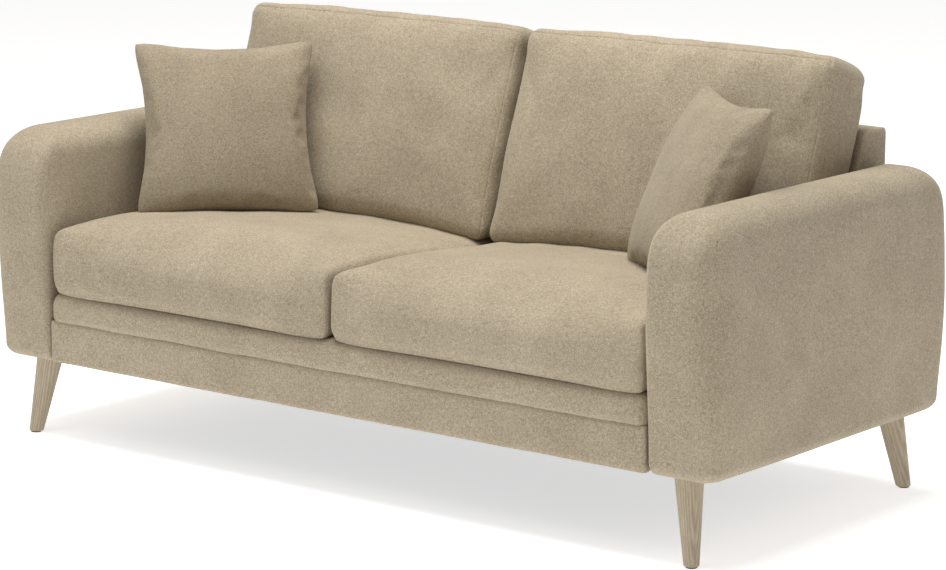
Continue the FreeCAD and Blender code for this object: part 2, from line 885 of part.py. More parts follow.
def make_webbing():
    """Straps across the posts, evenly spaced up the leaning face."""
    straps = []
    first = deck_top + wall + of("webbing_width")
    last = back_top - of("back_top_padding") - of("back_rail") - of("webbing_width")
    front_inset = wall + of("back_padding")
    for i in range(WEBBING_STRAPS):
        z = first + (last - first) * i / (WEBBING_STRAPS - 1)
        strap = add("Part::Box", f"webbing_{i}")
        bind(strap, "Length", (inner_x - wall) * 2)
        bind(strap, "Width", of("webbing_thickness"))
        bind(strap, "Height", of("webbing_width"))
        strap.Placement = FreeCAD.Placement(FreeCAD.Vector(), FreeCAD.Rotation(FreeCAD.Vector(1, 0, 0), -1))
        bind(strap, "Placement.Rotation.Angle", -lean)
        foot = z - of("webbing_width") / 2 * cosine(lean)
        place(strap, -(inner_x - wall), back_face(foot, front_inset), foot)
        straps.append(strap)
    keep(group("back_webbing", straps))


make_back()
make_webbing()


# ---- seat cushions ----


def seat_span(sx):
    return mirrored_span(sx, of("middle_gap"), inner_x - of("seat_arm_gap"))


def seat_shape(label, sx, inset):
    inset = as_size(inset)
    rims = either(lies_at("Z", "Min"), lies_at("Z", "Max"))
    return soft_box(
        label,
        grown(seat_span(sx), inset),
        grown((seat_front, seat_rear), inset),
        grown((seat_bottom, seat_top), inset),
        [(runs_along("Z"), of("seat_corner_radius") - inset), (rims, of("seat_rim_radius") - inset)],
    )


def make_seat_cushion(side, sx):
    """Cover with a zip along the middle of its rear border, foam core, and the zip's slider."""
    low, high = seat_span(sx)
    middle = (low + high) / 2
    zip_x = (middle - of("zip_length") / 2, middle + of("zip_length") / 2)
    zip_middle = (seat_bottom + seat_top) / 2
    zip_z = (zip_middle - of("zip_height") / 2, zip_middle + of("zip_height") / 2)
    slot = board(f"seat_{side}_slot", zip_x, (seat_rear - wall * 2, seat_rear + wall), zip_z)
    outer = seat_shape(f"seat_{side}_outer", sx, 0)
    keep(cut(f"seat_cover_{side}", outer, seat_shape(f"seat_{side}_inner", sx, wall), slot))
    core = seat_shape(f"seat_core_{side}", sx, wall + of("fit_gap"))
    keep(core)
    keep(board(f"seat_zip_{side}", zip_x, (seat_rear - wall, seat_rear), zip_z))

    # the slider rests at the zip's end by the arm
    start = zip_x[1] - of("slider_length") if sx > 0 else zip_x[0]
    slider_y = seat_rear + of("fit_gap")
    half = of("slider_height") / 2
    body = board(
        f"slider_{side}_body",
        (start, start + of("slider_length")),
        (slider_y, slider_y + of("slider_thickness")),
        (zip_middle - half, zip_middle + half),
    )
    pull_x = start + (of("slider_length") - of("pull_width")) / 2
    pull_y = slider_y + of("slider_thickness")
    pull = board(
        f"slider_{side}_pull",
        (pull_x, pull_x + of("pull_width")),
        (pull_y, pull_y + of("pull_thickness")),
        (zip_middle + half - of("pull_length"), zip_middle + half),
    )
    keep(fuse(f"zip_slider_{side}", body, pull))


# ---- back cushions ----


def back_cushion_shape(label, sx, inset):
    """Leaning front and rear faces, a level bottom on the seat cushion, a top square to the lean."""
    inset = as_size(inset)
    rear_at = of("cushion_clearance") + inset
    depth = of("back_cushion_thickness") + of("cushion_clearance") - inset
    bottom = back_cushion_bottom + inset
    top_fall = of("back_cushion_thickness") * sine(lean)
    top_rear_z = back_cushion_top - top_fall - inset * (cosine(lean) - sine(lean))
    run = of("back_cushion_thickness") - inset * 2
    front_top = (
        back_face(top_rear_z, -rear_at) - run * cosine(lean),
        top_rear_z + run * sine(lean),
    )
    points = [
        (back_face(bottom, -depth), bottom),
        (back_face(bottom, -rear_at), bottom),
        (back_face(top_rear_z, -rear_at), top_rear_z),
        front_top,
    ]
    top_edges = both(runs_along("X"), either(at_height(top_rear_z), at_height(front_top[1])))
    ends = either(lies_at("X", "Min"), lies_at("X", "Max"))
    near = of("back_cushion_middle_gap")
    x_span = mirrored_span(sx, near, inner_x - of("back_cushion_arm_gap"))
    return profile_body(label, points, grown(x_span, inset), [
        (top_edges, of("back_cushion_top_radius") - inset),
        (both(runs_along("X"), at_height(bottom)), of("back_cushion_bottom_radius") - inset),
        (ends, of("back_cushion_end_radius") - inset),
    ])


def make_back_cushion(side, sx):
    outer = back_cushion_shape(f"back_cushion_{side}_outer", sx, 0)
    keep(cut(f"back_cushion_cover_{side}", outer, back_cushion_shape(f"back_cushion_{side}_inner", sx, wall)))
    keep(back_cushion_shape(f"back_cushion_core_{side}", sx, wall + of("fit_gap")))


# ---- scatter cushions ----


def scatter_dome():
    """Radius of the domes that are one crown thick in the middle and one corner thick at the corners."""
    half = of("scatter_size") / 2
    drop = (of("scatter_crown") - of("scatter_corner")) / 2
    return (half * half * 2 + drop * drop) / (drop * 2)


def scatter_shape(label, inset, turn, lean_back, middle):
    """A square pillow: two shallow domes cut to a square, standing on one side."""
    inset = as_size(inset)
    half = of("scatter_size") / 2
    crown = of("scatter_crown") / 2
    dome = scatter_dome()
    domes = []
    for face, sign in (("front", 1), ("rear", -1)):
        ball = add("Part::Sphere", f"{label}_{face}_dome")
        bind(ball, "Radius", dome - inset)
        place(ball, 0, (dome - crown) * sign, 0)
        domes.append(ball)
    span = grown((-half, half), inset)
    square = board(f"{label}_square", span, (-crown, crown), span)
    pillow = common(label, common(f"{label}_lens", *domes), square)
    tilt = FreeCAD.Rotation(FreeCAD.Vector(1, 0, 0), -lean_back.value)
    yaw = FreeCAD.Rotation(FreeCAD.Vector(0, 0, 1), turn.value)
    pillow.Placement = FreeCAD.Placement(FreeCAD.Vector(), yaw.multiply(tilt))
    return place(pillow, *middle)


def make_scatter(side, sx):
    """A scatter cushion standing on the seat cushion, leaning back into its corner."""
    turn = of(f"{side}_scatter_turn")
    lean_back = of(f"{side}_scatter_lean")
    half = of("scatter_size") / 2
    dome = scatter_dome()
    edge = root(dome * dome - half * half) - dome + of("scatter_crown") / 2
    middle = (
        (inner_x - of(f"{side}_scatter_in")) * sx,
        back_face(back_cushion_bottom, -of("back_cushion_thickness")) - of(f"{side}_scatter_forward"),
        seat_top + of("fit_gap") + half * cosine(lean_back) + edge * sine(lean_back),
    )
    outer = scatter_shape(f"scatter_{side}_outer", 0, turn, lean_back, middle)
    inner = scatter_shape(f"scatter_{side}_inner", wall, turn, lean_back, middle)
    keep(cut(f"scatter_cover_{side}", outer, inner))
    keep(scatter_shape(f"scatter_pad_{side}", wall + of("fit_gap"), turn, lean_back, middle))


for side, sx in SIDES.items():
    make_seat_cushion(side, sx)
    make_back_cushion(side, sx)
    make_scatter(side, sx)


# ---- checks, then one file for each piece ----

doc.recompute()
for thing in doc.Objects:
    if "Invalid" in thing.State or "Error" in thing.State:
        raise RuntimeError(f"{thing.Label} failed: {thing.State}")
for thing in parts:
    if thing.Shape.isNull() or not thing.Shape.isValid():
        raise RuntimeError(f"{thing.Label} has no valid shape")

os.makedirs("parts", exist_ok=True)
for thing in parts:
    thing.Shape.exportStep(f"parts/{thing.Label}.step")
print(f"{len(parts)} parts written")
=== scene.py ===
import json
import math

import bmesh
import bpy
import numpy as np
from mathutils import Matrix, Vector


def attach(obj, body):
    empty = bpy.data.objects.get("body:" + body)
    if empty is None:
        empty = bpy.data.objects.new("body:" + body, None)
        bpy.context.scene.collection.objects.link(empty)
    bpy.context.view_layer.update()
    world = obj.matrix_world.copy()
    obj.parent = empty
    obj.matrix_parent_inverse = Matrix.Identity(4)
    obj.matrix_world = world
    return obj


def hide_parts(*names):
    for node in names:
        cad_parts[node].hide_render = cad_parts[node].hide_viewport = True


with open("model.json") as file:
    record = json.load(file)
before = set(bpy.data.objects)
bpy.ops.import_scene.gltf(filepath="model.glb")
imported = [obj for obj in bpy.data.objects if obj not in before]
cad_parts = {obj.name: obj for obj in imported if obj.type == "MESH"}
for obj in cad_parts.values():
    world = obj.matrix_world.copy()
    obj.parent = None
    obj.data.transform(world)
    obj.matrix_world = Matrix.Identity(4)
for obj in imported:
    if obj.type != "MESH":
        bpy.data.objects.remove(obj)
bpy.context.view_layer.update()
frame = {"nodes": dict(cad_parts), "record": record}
print("frame loaded,", len(frame["nodes"]), "nodes")


sides = (("left", -1), ("right", 1))


# Shapes. A piece is worked out as whole arrays of points and then put into a mesh.

def spaced(low, high, step, seams=()):
    # Even values from low to high, about one step apart. A seam clears the values near it for its own rows.
    count = max(2, int(round((high - low) / step)) + 1)
    values = np.linspace(low, high, count)
    for seam in seams:
        clear = seam["reach"] + step * 0.4
        values = values[np.abs(values - seam["at"]) > clear]
        values = np.append(values, seam["at"] + np.array(seam["rows"]))
    values = np.clip(values, low, high)
    return np.unique(np.round(np.append(values, [low, high]), 6))


def boxSpan(spec):
    # Half the size of a box given by its spans, and its middle.
    low, high = np.array([spec["x"], spec["y"], spec["z"]]).T
    return (high - low) / 2, (high + low) / 2


def gridFaces(index):
    # Four-sided faces between neighbours of a grid of point numbers.
    return np.stack([index[:-1, :-1], index[1:, :-1], index[1:, 1:], index[:-1, 1:]], axis=-1).reshape(-1, 4)


def boxLattice(xs, ys, zs):
    # The points of a box-shaped lattice that lie on its six faces, the four-sided faces between neighbours,
    # and which of the whole lattice's points those are.
    shape = (len(xs), len(ys), len(zs))
    i, j, k = np.indices(shape)
    rim = (i == 0) | (i == shape[0] - 1) | (j == 0) | (j == shape[1] - 1) | (k == 0) | (k == shape[2] - 1)
    number = np.full(shape, -1)
    number[rim] = np.arange(rim.sum())
    points = np.stack([xs[i[rim]], ys[j[rim]], zs[k[rim]]], axis=1)
    faces = []
    for axis in range(3):
        for end in (0, shape[axis] - 1):
            quads = gridFaces(np.take(number, end, axis=axis))
            outward = (end > 0) != (axis == 1)
            faces.append(quads if outward else quads[:, ::-1])
    return points, np.concatenate(faces), rim


def roundedBox(points, half, radiusLow, radiusHigh, power=2.0):
    # Every point keeps its nearest point of a smaller inner box and stands off it by one radius along the way
    # out, each axis with a radius of its own for its low and its high side. The way's length is the root of
    # its parts' summed powers, so a power over two makes the edges squarer. Also gives the way out, one long.
    half, radiusLow, radiusHigh = (np.asarray(v, float) for v in (half, radiusLow, radiusHigh))
    radius = np.where(points < 0, radiusLow, radiusHigh)
    inner = np.clip(points, radiusLow - half, half - radiusHigh)
    away = (points - inner) / radius
    length = (np.abs(away) ** power).sum(axis=1, keepdims=True) ** (1 / power)
    away = away / np.maximum(length, 1e-9)
    outward = away / radius
    outward = outward / np.maximum(np.linalg.norm(outward, axis=1, keepdims=True), 1e-9)
    return inner + radius * away, outward


def bump(t, edge=2.0):
    # One in the middle of -1..1, falling to nothing at the ends: one less the edge power of the distance.
    return np.clip(1 - np.abs(t) ** edge, 0, 1)


def ramp(value, start, end):
    # Nothing up to the start and one from the end on, with a smooth cubic rise between.
    t = np.clip((value - start) / (end - start), 0, 1)
    return t * t * (3 - 2 * t)


def ripple(points, size, height, seed):
    # A slow unevenness: the mean of a few sine waves in random directions, about as long as the size.
    waves, gain = 7, 1.6
    random = np.random.default_rng(seed)
    total = np.zeros(len(points))
    for _ in range(waves):
        way = random.normal(size=3)
        way *= random.uniform(0.6, 1.6) * 2 * math.pi / size / np.linalg.norm(way)
        total += np.sin(points @ way + random.uniform(0, 2 * math.pi))
    return total / waves * height * gain


def eased(table, z):
    # The table's values between its heights, each a mean over a short stretch, which smooths the corners.
    table = np.array(table)
    reach = np.linspace(-0.03, 0.03, 13)
    return np.mean([np.interp(z + shift, table[:, 0], table[:, 1]) for shift in reach], axis=0)


def freeSkin(outward, rearFade):
    # One where a cushion's skin is free, fading to nothing where it faces down or to the rear and rests.
    down, rear = np.clip(-outward[:, 2], 0, 1), np.clip(outward[:, 1], 0, 1)
    return ramp(1 - down * 1.4, 0, 1) * ramp(1 - rear * rearFade, 0, 1)


def onSide(side, points, faces):
    # A form made for the right side, mirrored when it is the left one.
    return (points, faces) if side > 0 else (points * (-1, 1, 1), faces[:, ::-1])


def meshPiece(name, points, faces, material, weld=0.0):
    # An object of these points and faces, smooth, with one finish. Points closer than the weld become one.
    mesh = bpy.data.meshes.new(name)
    mesh.from_pydata(points.tolist(), [], faces.tolist())
    if weld:
        work = bmesh.new()
        work.from_mesh(mesh)
        bmesh.ops.remove_doubles(work, verts=work.verts, dist=weld)
        bmesh.ops.recalc_face_normals(work, faces=work.faces)
        work.to_mesh(mesh)
        work.free()
    mesh.polygons.foreach_set("use_smooth", np.ones(len(mesh.polygons), bool))
    mesh.materials.append(material)
    mesh.update()
    piece = bpy.data.objects.new(name, mesh)
    bpy.context.scene.collection.objects.link(piece)
    return piece


shellCloth = {"mass": 0.3, "tension": 15, "shear": 5}


def puffMoves(points, faces, held, look):
    # A closed shell of cloth is blown up for a few steps with no weight on it.
    # Gives how far each point went, no further than the cap, with the held points left where they are.
    mesh = bpy.data.meshes.new("puffing")
    mesh.from_pydata(points.tolist(), [], faces.tolist())
    shell = bpy.data.objects.new("puffing", mesh)
    scene = bpy.context.scene
    scene.collection.objects.link(shell)
    cloth = shell.modifiers.new("cloth", "CLOTH")
    settings = cloth.settings
    settings.quality = look["quality"]
    settings.mass = shellCloth["mass"]
    settings.tension_stiffness = shellCloth["tension"]
    settings.compression_stiffness = shellCloth["tension"]
    settings.shear_stiffness = shellCloth["shear"]
    settings.bending_stiffness = look["bending"]
    settings.use_pressure = True
    settings.uniform_pressure_force = look["pressure"]
    settings.shrink_min = 0.0
    settings.effector_weights.gravity = 0
    if held is not None:
        group = shell.vertex_groups.new(name="held")
        group.add(np.nonzero(held)[0].tolist(), 1.0, "REPLACE")
        settings.vertex_group_mass = "held"
        settings.pin_stiffness = 1
    cloth.point_cache.frame_start = 1
    cloth.point_cache.frame_end = look["steps"]
    for step in range(1, look["steps"] + 1):
        scene.frame_set(step)
    blown = shell.evaluated_get(bpy.context.evaluated_depsgraph_get())
    after = np.empty(len(points) * 3, np.float32)
    blown.data.vertices.foreach_get("co", after)
    bpy.data.objects.remove(shell)
    bpy.data.meshes.remove(mesh)
    scene.frame_set(1)
    moves = after.reshape(-1, 3).astype(float) - points
    length = np.linalg.norm(moves, axis=1, keepdims=True)
    cap = look["cap"]
    return moves * (cap * np.tanh(length / cap) / np.maximum(length, 1e-9))


def carriedOver(moves, rim, coarse, fine, points):
    # Moves known at the rim of a coarse lattice, read for other points as the mean of the eight lattice
    # points round each, weighted by nearness along the three axes.
    field = np.zeros(rim.shape + (3,))
    field[rim] = moves
    place = []
    for axis in range(3):
        at = np.interp(points[:, axis], coarse[axis], np.arange(len(coarse[axis])))
        low = np.clip(np.floor(at + 1e-6).astype(int), 0, len(coarse[axis]) - 2)
        place.append((low, np.clip(at - low, 0, 1)))
    total = np.zeros_like(points)
    for corner in range(8):
        weight = np.ones(len(points))
        index = []
        for axis in range(3):
            up = (corner >> axis) & 1
            low, part = place[axis]
            weight = weight * (part if up else 1 - part)
            index.append(low + up)
        total += field[tuple(index)] * weight[:, None]
    return total


# Finishes. Each is made of noise on Object coordinates, which is the piece's own place in metres.

class Finish:
    def __init__(self, name, roughness=0.8, specular=0.3, metallic=0.0):
        self.material = bpy.data.materials.new(name)
        self.material.use_nodes = True
        self.tree = self.material.node_tree
        self.shader = self.tree.nodes["Principled BSDF"]
        self.shader.inputs["Roughness"].default_value = roughness
        self.shader.inputs["Specular IOR Level"].default_value = specular
        self.shader.inputs["Metallic"].default_value = metallic
        self.place = self.node("ShaderNodeTexCoord").outputs["Object"]

    def join(self, socket, value):
        # A link when the value comes from another node, and else the value itself.
        if isinstance(value, bpy.types.NodeSocket):
            self.tree.links.new(value, socket)
        else:
            socket.default_value = value

    def feed(self, target, name, value):
        self.join(target.inputs[name], value)

    def node(self, kind, **inputs):
        made = self.tree.nodes.new(kind)
        for name, value in inputs.items():
            self.feed(made, name.replace("_", " "), value)
        return made

    def turned(self, rotation=(0, 0, 0), shift=(0, 0, 0)):
        made = self.node("ShaderNodeMapping", Vector=self.place, Rotation=rotation, Location=shift)
        return made.outputs["Vector"]

    def noise(self, scale, detail=2.0, rough=0.5, place=None, distort=0.0):
        made = self.node("ShaderNodeTexNoise", Vector=place or self.place, Scale=scale, Detail=detail,
                         Roughness=rough, Distortion=distort)
        return made.outputs["Fac"]

    def spread(self, value, low, high, toLow=0.0, toHigh=1.0):
        made = self.node("ShaderNodeMapRange", Value=value, From_Min=low, From_Max=high,
                         To_Min=toLow, To_Max=toHigh)
        return made.outputs["Result"]

    def sums(self, kind, first, second):
        made = self.tree.nodes.new("ShaderNodeMath")
        made.operation = kind
        self.join(made.inputs[0], first)
        self.join(made.inputs[1], second)
        return made.outputs[0]

    def mixed(self, *parts):
        # The sum of the values, each times its share.
        total = None
        for value, share in parts:
            part = self.sums("MULTIPLY", value, share)
            total = part if total is None else self.sums("ADD", total, part)
        return total

    def blend(self, amount, first, second):
        made = self.tree.nodes.new("ShaderNodeMix")
        made.data_type = "RGBA"
        self.join(made.inputs[0], amount)
        for socket, tone in ((made.inputs[6], first), (made.inputs[7], second)):
            self.join(socket, (*tone, 1) if isinstance(tone, tuple) else tone)
        return made.outputs[2]

    def colour(self, value):
        self.feed(self.shader, "Base Color", value)

    def lift(self, height, strength, distance):
        made = self.node("ShaderNodeBump", Strength=strength, Distance=distance, Height=height)
        self.feed(self.shader, "Normal", made.outputs["Normal"])


def nappedCloth(name, look):
    # Short felted pile: flecks, mottling and a slow drift move the colour between a dark and a light yarn.
    made = Finish(name, roughness=look["roughness"], specular=look["specular"])
    fleck = made.spread(made.noise(look["fleckScale"], 3, 0.65), 0.39, 0.61)
    mottle = made.spread(made.noise(look["mottleScale"], 2, 0.6), 0.32, 0.68)
    drift = made.spread(made.noise(look["driftScale"], 3, 0.55, distort=0.4), 0.3, 0.7)
    parts = ((fleck, look["fleckShare"]), (mottle, look["mottleShare"]), (drift, look["driftShare"]))
    tone = made.blend(made.mixed(*parts), look["dark"], look["light"])
    warm = made.spread(made.noise(look["fleckScale"] * 0.55, 2, 0.5), 0.42, 0.7, 0.0, look["warmShare"])
    made.colour(made.blend(warm, tone, look["warm"]))
    nap = made.noise(look["napScale"], 3, 0.7)
    nubs = made.node("ShaderNodeTexVoronoi", Vector=made.place, Scale=look["nubScale"]).outputs["Distance"]
    made.lift(made.mixed((nap, 0.6), (nubs, 0.4)), look["bumpStrength"], look["bumpDistance"])
    made.shader.inputs["Sheen Weight"].default_value = look["sheen"]
    made.shader.inputs["Sheen Roughness"].default_value = look["sheenRoughness"]
    made.shader.inputs["Sheen Tint"].default_value = (*look["sheenTint"], 1)
    return made.material


upholsteryLook = {
    "dark": (0.198, 0.162, 0.111), "light": (0.552, 0.476, 0.36), "warm": (0.4, 0.315, 0.205),
    "warmShare": 0.35,
    "fleckScale": 420.0, "fleckShare": 0.56, "mottleScale": 170.0, "mottleShare": 0.26,
    "driftScale": 7.0, "driftShare": 0.18, "napScale": 1500.0, "nubScale": 900.0,
    "bumpStrength": 0.35, "bumpDistance": 0.0012, "roughness": 0.92, "specular": 0.18,
    "sheen": 0.22, "sheenRoughness": 0.45, "sheenTint": (0.95, 0.9, 0.8),
}
upholstery = nappedCloth("upholstery", upholsteryLook)
scatterCloth = nappedCloth("scatterCloth", {
    **upholsteryLook, "driftScale": 9.0,
    "dark": (0.18, 0.146, 0.098), "light": (0.44, 0.376, 0.28), "warm": (0.34, 0.264, 0.17),
})


def straightWood(name, look, rotation=(0, 0, 0), shift=(0, 0, 0)):
    # Growth rings round a centre beside the piece, with fine pores drawn out along the grain.
    made = Finish(name, roughness=look["roughness"], specular=0.35)
    turned = made.turned(rotation, shift)
    long = made.node("ShaderNodeMapping", Vector=turned, Scale=(1, 1, look["drawOut"])).outputs["Vector"]
    rings = made.tree.nodes.new("ShaderNodeTexWave")
    rings.wave_type = "RINGS"
    rings.rings_direction = "Z"
    for key, value in (("Vector", long), ("Scale", look["ringScale"]), ("Distortion", look["ringWander"]),
                       ("Detail", 3.0), ("Detail Scale", look["ringDetail"]), ("Detail Roughness", 0.6)):
        made.feed(rings, key, value)
    streaks = made.noise(look["streakScale"], 4, 0.6, place=long)
    pores = made.spread(made.noise(look["poreScale"], 2, 0.5, place=long), 0.52, 0.72)
    grain = made.mixed((rings.outputs["Fac"], 0.5), (made.spread(streaks, 0.3, 0.7), 0.5))
    tone = made.blend(grain, look["dark"], look["light"])
    tone = made.blend(made.sums("MULTIPLY", pores, look["poreShare"]), tone, look["pore"])
    made.colour(tone)
    made.lift(made.sums("SUBTRACT", grain, pores), 0.18, 0.0005)
    return made.material


def plainCloth(name, look):
    # Threads both ways, from two sets of fine waves, over a slow change of tone.
    made = Finish(name, roughness=look["roughness"], specular=0.15)
    waves = []
    for turn in ((0, 0, 0), (0, 0, math.pi / 2)):
        wave = made.tree.nodes.new("ShaderNodeTexWave")
        made.feed(wave, "Vector", made.turned(turn))
        made.feed(wave, "Scale", look["threads"])
        made.feed(wave, "Distortion", 0.6)
        waves.append(wave.outputs["Fac"])
    weave = made.sums("MULTIPLY", waves[0], waves[1])
    tone = made.blend(made.sums("MULTIPLY", weave, 0.6), look["dark"], look["light"])
    blotches = made.spread(made.noise(look["blotch"], 3), 0.3, 0.7, 0.0, 0.35)
    made.colour(made.blend(blotches, tone, look["dark"]))
    made.lift(made.sums("ADD", weave, made.noise(look["threads"] * 8, 2)), look["lift"], 0.0006)
    return made.material


def speckled(name, look, metallic=0.0):
    # One tone broken by fine grains and a slow cloud, for foam, felt, moulded plastic and metal.
    made = Finish(name, roughness=look["roughness"], specular=look["specular"], metallic=metallic)
    grains = made.spread(made.noise(look["grain"], 3, 0.6), 0.3, 0.7)
    cloud = made.spread(made.noise(look["cloud"], 2, 0.5), 0.3, 0.7)
    made.colour(made.blend(made.mixed((grains, 0.6), (cloud, 0.4)), look["dark"], look["light"]))
    polish = made.spread(cloud, 0, 1, look["roughness"] - 0.08, look["roughness"] + 0.08)
    made.feed(made.shader, "Roughness", polish)
    made.lift(grains, look["lift"], look["liftDistance"])
    return made.material


pine = straightWood("framePine", {
    "dark": (0.42, 0.27, 0.13), "light": (0.66, 0.47, 0.27), "pore": (0.3, 0.18, 0.08), "poreShare": 0.25,
    "drawOut": 0.06, "ringScale": 14.0, "ringWander": 3.0, "ringDetail": 2.0, "streakScale": 60.0,
    "poreScale": 700.0, "roughness": 0.7,
}, rotation=(0, math.pi / 2, 0))
hardboard = speckled("hardboard", {
    "dark": (0.16, 0.09, 0.045), "light": (0.27, 0.17, 0.09), "grain": 600.0, "cloud": 20.0,
    "roughness": 0.7, "specular": 0.3, "lift": 0.2, "liftDistance": 0.0005,
})
foam = speckled("foam", {
    "dark": (0.6, 0.54, 0.4), "light": (0.78, 0.72, 0.58), "grain": 900.0, "cloud": 12.0,
    "roughness": 0.9, "specular": 0.1, "lift": 0.5, "liftDistance": 0.001,
})
lining = plainCloth("deckLining", {
    "dark": (0.16, 0.14, 0.11), "light": (0.3, 0.265, 0.21), "threads": 260.0, "blotch": 9.0,
    "roughness": 0.9, "lift": 0.35,
})
elastic = plainCloth("webbing", {
    "dark": (0.05, 0.045, 0.04), "light": (0.16, 0.14, 0.12), "threads": 180.0, "blotch": 15.0,
    "roughness": 0.85, "lift": 0.5,
})
dustCloth = plainCloth("dustCloth", {
    "dark": (0.012, 0.012, 0.013), "light": (0.04, 0.04, 0.043), "threads": 200.0, "blotch": 14.0,
    "roughness": 0.95, "lift": 0.25,
})
zipTape = plainCloth("zipTape", {
    "dark": (0.17, 0.135, 0.09), "light": (0.33, 0.275, 0.2), "threads": 420.0, "blotch": 30.0,
    "roughness": 0.8, "lift": 0.4,
})
steel = speckled("steel", {
    "dark": (0.36, 0.36, 0.37), "light": (0.56, 0.56, 0.57), "grain": 500.0, "cloud": 30.0,
    "roughness": 0.38, "specular": 0.5, "lift": 0.1, "liftDistance": 0.0003,
}, metallic=1.0)
nickel = speckled("agedNickel", {
    "dark": (0.22, 0.2, 0.17), "light": (0.42, 0.39, 0.33), "grain": 700.0, "cloud": 90.0,
    "roughness": 0.34, "specular": 0.5, "lift": 0.12, "liftDistance": 0.0003,
}, metallic=1.0)
nylon = speckled("glideNylon", {
    "dark": (0.035, 0.032, 0.03), "light": (0.075, 0.07, 0.064), "grain": 900.0, "cloud": 60.0,
    "roughness": 0.5, "specular": 0.4, "lift": 0.2, "liftDistance": 0.0003,
})
print("finishes made")

slotFinish = {
    "frame_timber": pine, "hardboard": hardboard, "foam": foam, "deck_felt": lining, "webbing": elastic,
    "dust_cloth": dustCloth, "steel": steel, "zip_tape": zipTape, "zip_metal": nickel, "glide_plastic": nylon,
    "upholstery_fabric": upholstery, "scatter_fabric": scatterCloth,
}


def setFinish(node, material):
    slots = frame["nodes"][node].material_slots
    for place in slots:
        place.material = material
    if not len(slots):
        frame["nodes"][node].data.materials.append(material)


for part in frame["record"]["subparts"]:
    if part["material_slot"] in slotFinish:
        setFinish(part["node"], slotFinish[part["material_slot"]])


# Legs: turned and splayed oak, each with its own piece of the grain running along its axis.
legs = {
    "wood": {"dark": (0.325, 0.262, 0.178), "light": (0.545, 0.465, 0.345), "pore": (0.235, 0.18, 0.115),
             "poreShare": 0.5, "drawOut": 0.05, "ringScale": 62.0, "ringWander": 4.0, "ringDetail": 1.2,
             "streakScale": 260.0, "poreScale": 1500.0, "roughness": 0.52},
    "pithBeside": 0.035, "endDepth": 0.006, "firstTurn": 0.7, "nextTurn": 1.9, "nextRise": 0.37,
    "names": ("leg_front_left", "leg_front_right", "leg_rear_left", "leg_rear_right"),
}
for place, name in enumerate(legs["names"]):
    points = np.empty(len(frame["nodes"][name].data.vertices) * 3, np.float32)
    frame["nodes"][name].data.vertices.foreach_get("co", points)
    points = points.reshape(-1, 3)
    foot = points[points[:, 2] < points[:, 2].min() + legs["endDepth"]].mean(axis=0)
    head = points[points[:, 2] > points[:, 2].max() - legs["endDepth"]].mean(axis=0)
    turn = Vector(head - foot).normalized().rotation_difference(Vector((0, 0, 1)))
    middle = turn @ Vector(foot)
    angle = legs["firstTurn"] + place * legs["nextTurn"]
    pithX, pithY = legs["pithBeside"] * math.cos(angle), legs["pithBeside"] * math.sin(angle)
    beside = (pithX - middle.x, pithY - middle.y, place * legs["nextRise"])
    setFinish(name, straightWood(f"legOak{place + 1}", legs["wood"], tuple(turn.to_euler()), beside))
print("legs finished")


# Arms: one pebble form each, of rounded rectangles stacked from the underside to the crest. The tables give,
# by height, how far the outer side and each end stand back from the widest place, and the corners' radii.
arms = {
    "halfWidth": 0.082, "middleX": 0.8605, "front": -0.4305, "rear": 0.4275, "bottom": 0.1685, "top": 0.6665,
    "crestRise": 0.06, "crestPower": 2.35, "frontRise": 0.112, "frontRound": 0.108,
    "rearRise": 0.094, "rearRound": 0.096, "endPower": 2.15, "footRound": 0.026, "footShare": 0.65,
    "cornerRatio": 1.42, "innerRatio": 1.5, "sideBulge": 0.0035, "unevenShare": 0.0175, "unevenSize": 0.3,
    "footLevels": 16, "bodyLevels": 48, "crestLevels": 46, "soleRings": 6, "soleShare": 0.999,
    "sideSteps": 110, "endSteps": 18, "cornerSteps": 16,
    "sideDrop": ((0.155, 0.013), (0.19, 0.0115), (0.239, 0.007), (0.32, 0.0018), (0.385, 0), (0.44, 0.001),
                 (0.517, 0.005), (0.582, 0.01), (0.667, 0.018)),
    "frontDrop": ((0.155, 0.0235), (0.196, 0.0225), (0.255, 0.018), (0.313, 0.0115), (0.351, 0.0075),
                  (0.409, 0.0025), (0.466, 0.0), (0.522, 0.0006), (0.583, 0.002), (0.667, 0.006)),
    "rearDrop": ((0.155, 0.023), (0.207, 0.019), (0.236, 0.0155), (0.297, 0.0075), (0.357, 0.003),
                 (0.43, 0.0), (0.496, 0.003), (0.542, 0.005), (0.605, 0.007), (0.667, 0.009)),
    "frontCorner": ((0.155, 0.025), (0.19, 0.034), (0.385, 0.056), (0.5, 0.06), (0.6, 0.046), (0.667, 0.044)),
    "innerCorner": ((0.155, 0.01), (0.25, 0.013), (0.36, 0.018), (0.6, 0.022), (0.667, 0.024)),
    "rearCorner": ((0.155, 0.025), (0.236, 0.035), (0.449, 0.046), (0.6, 0.037), (0.667, 0.036)),
}


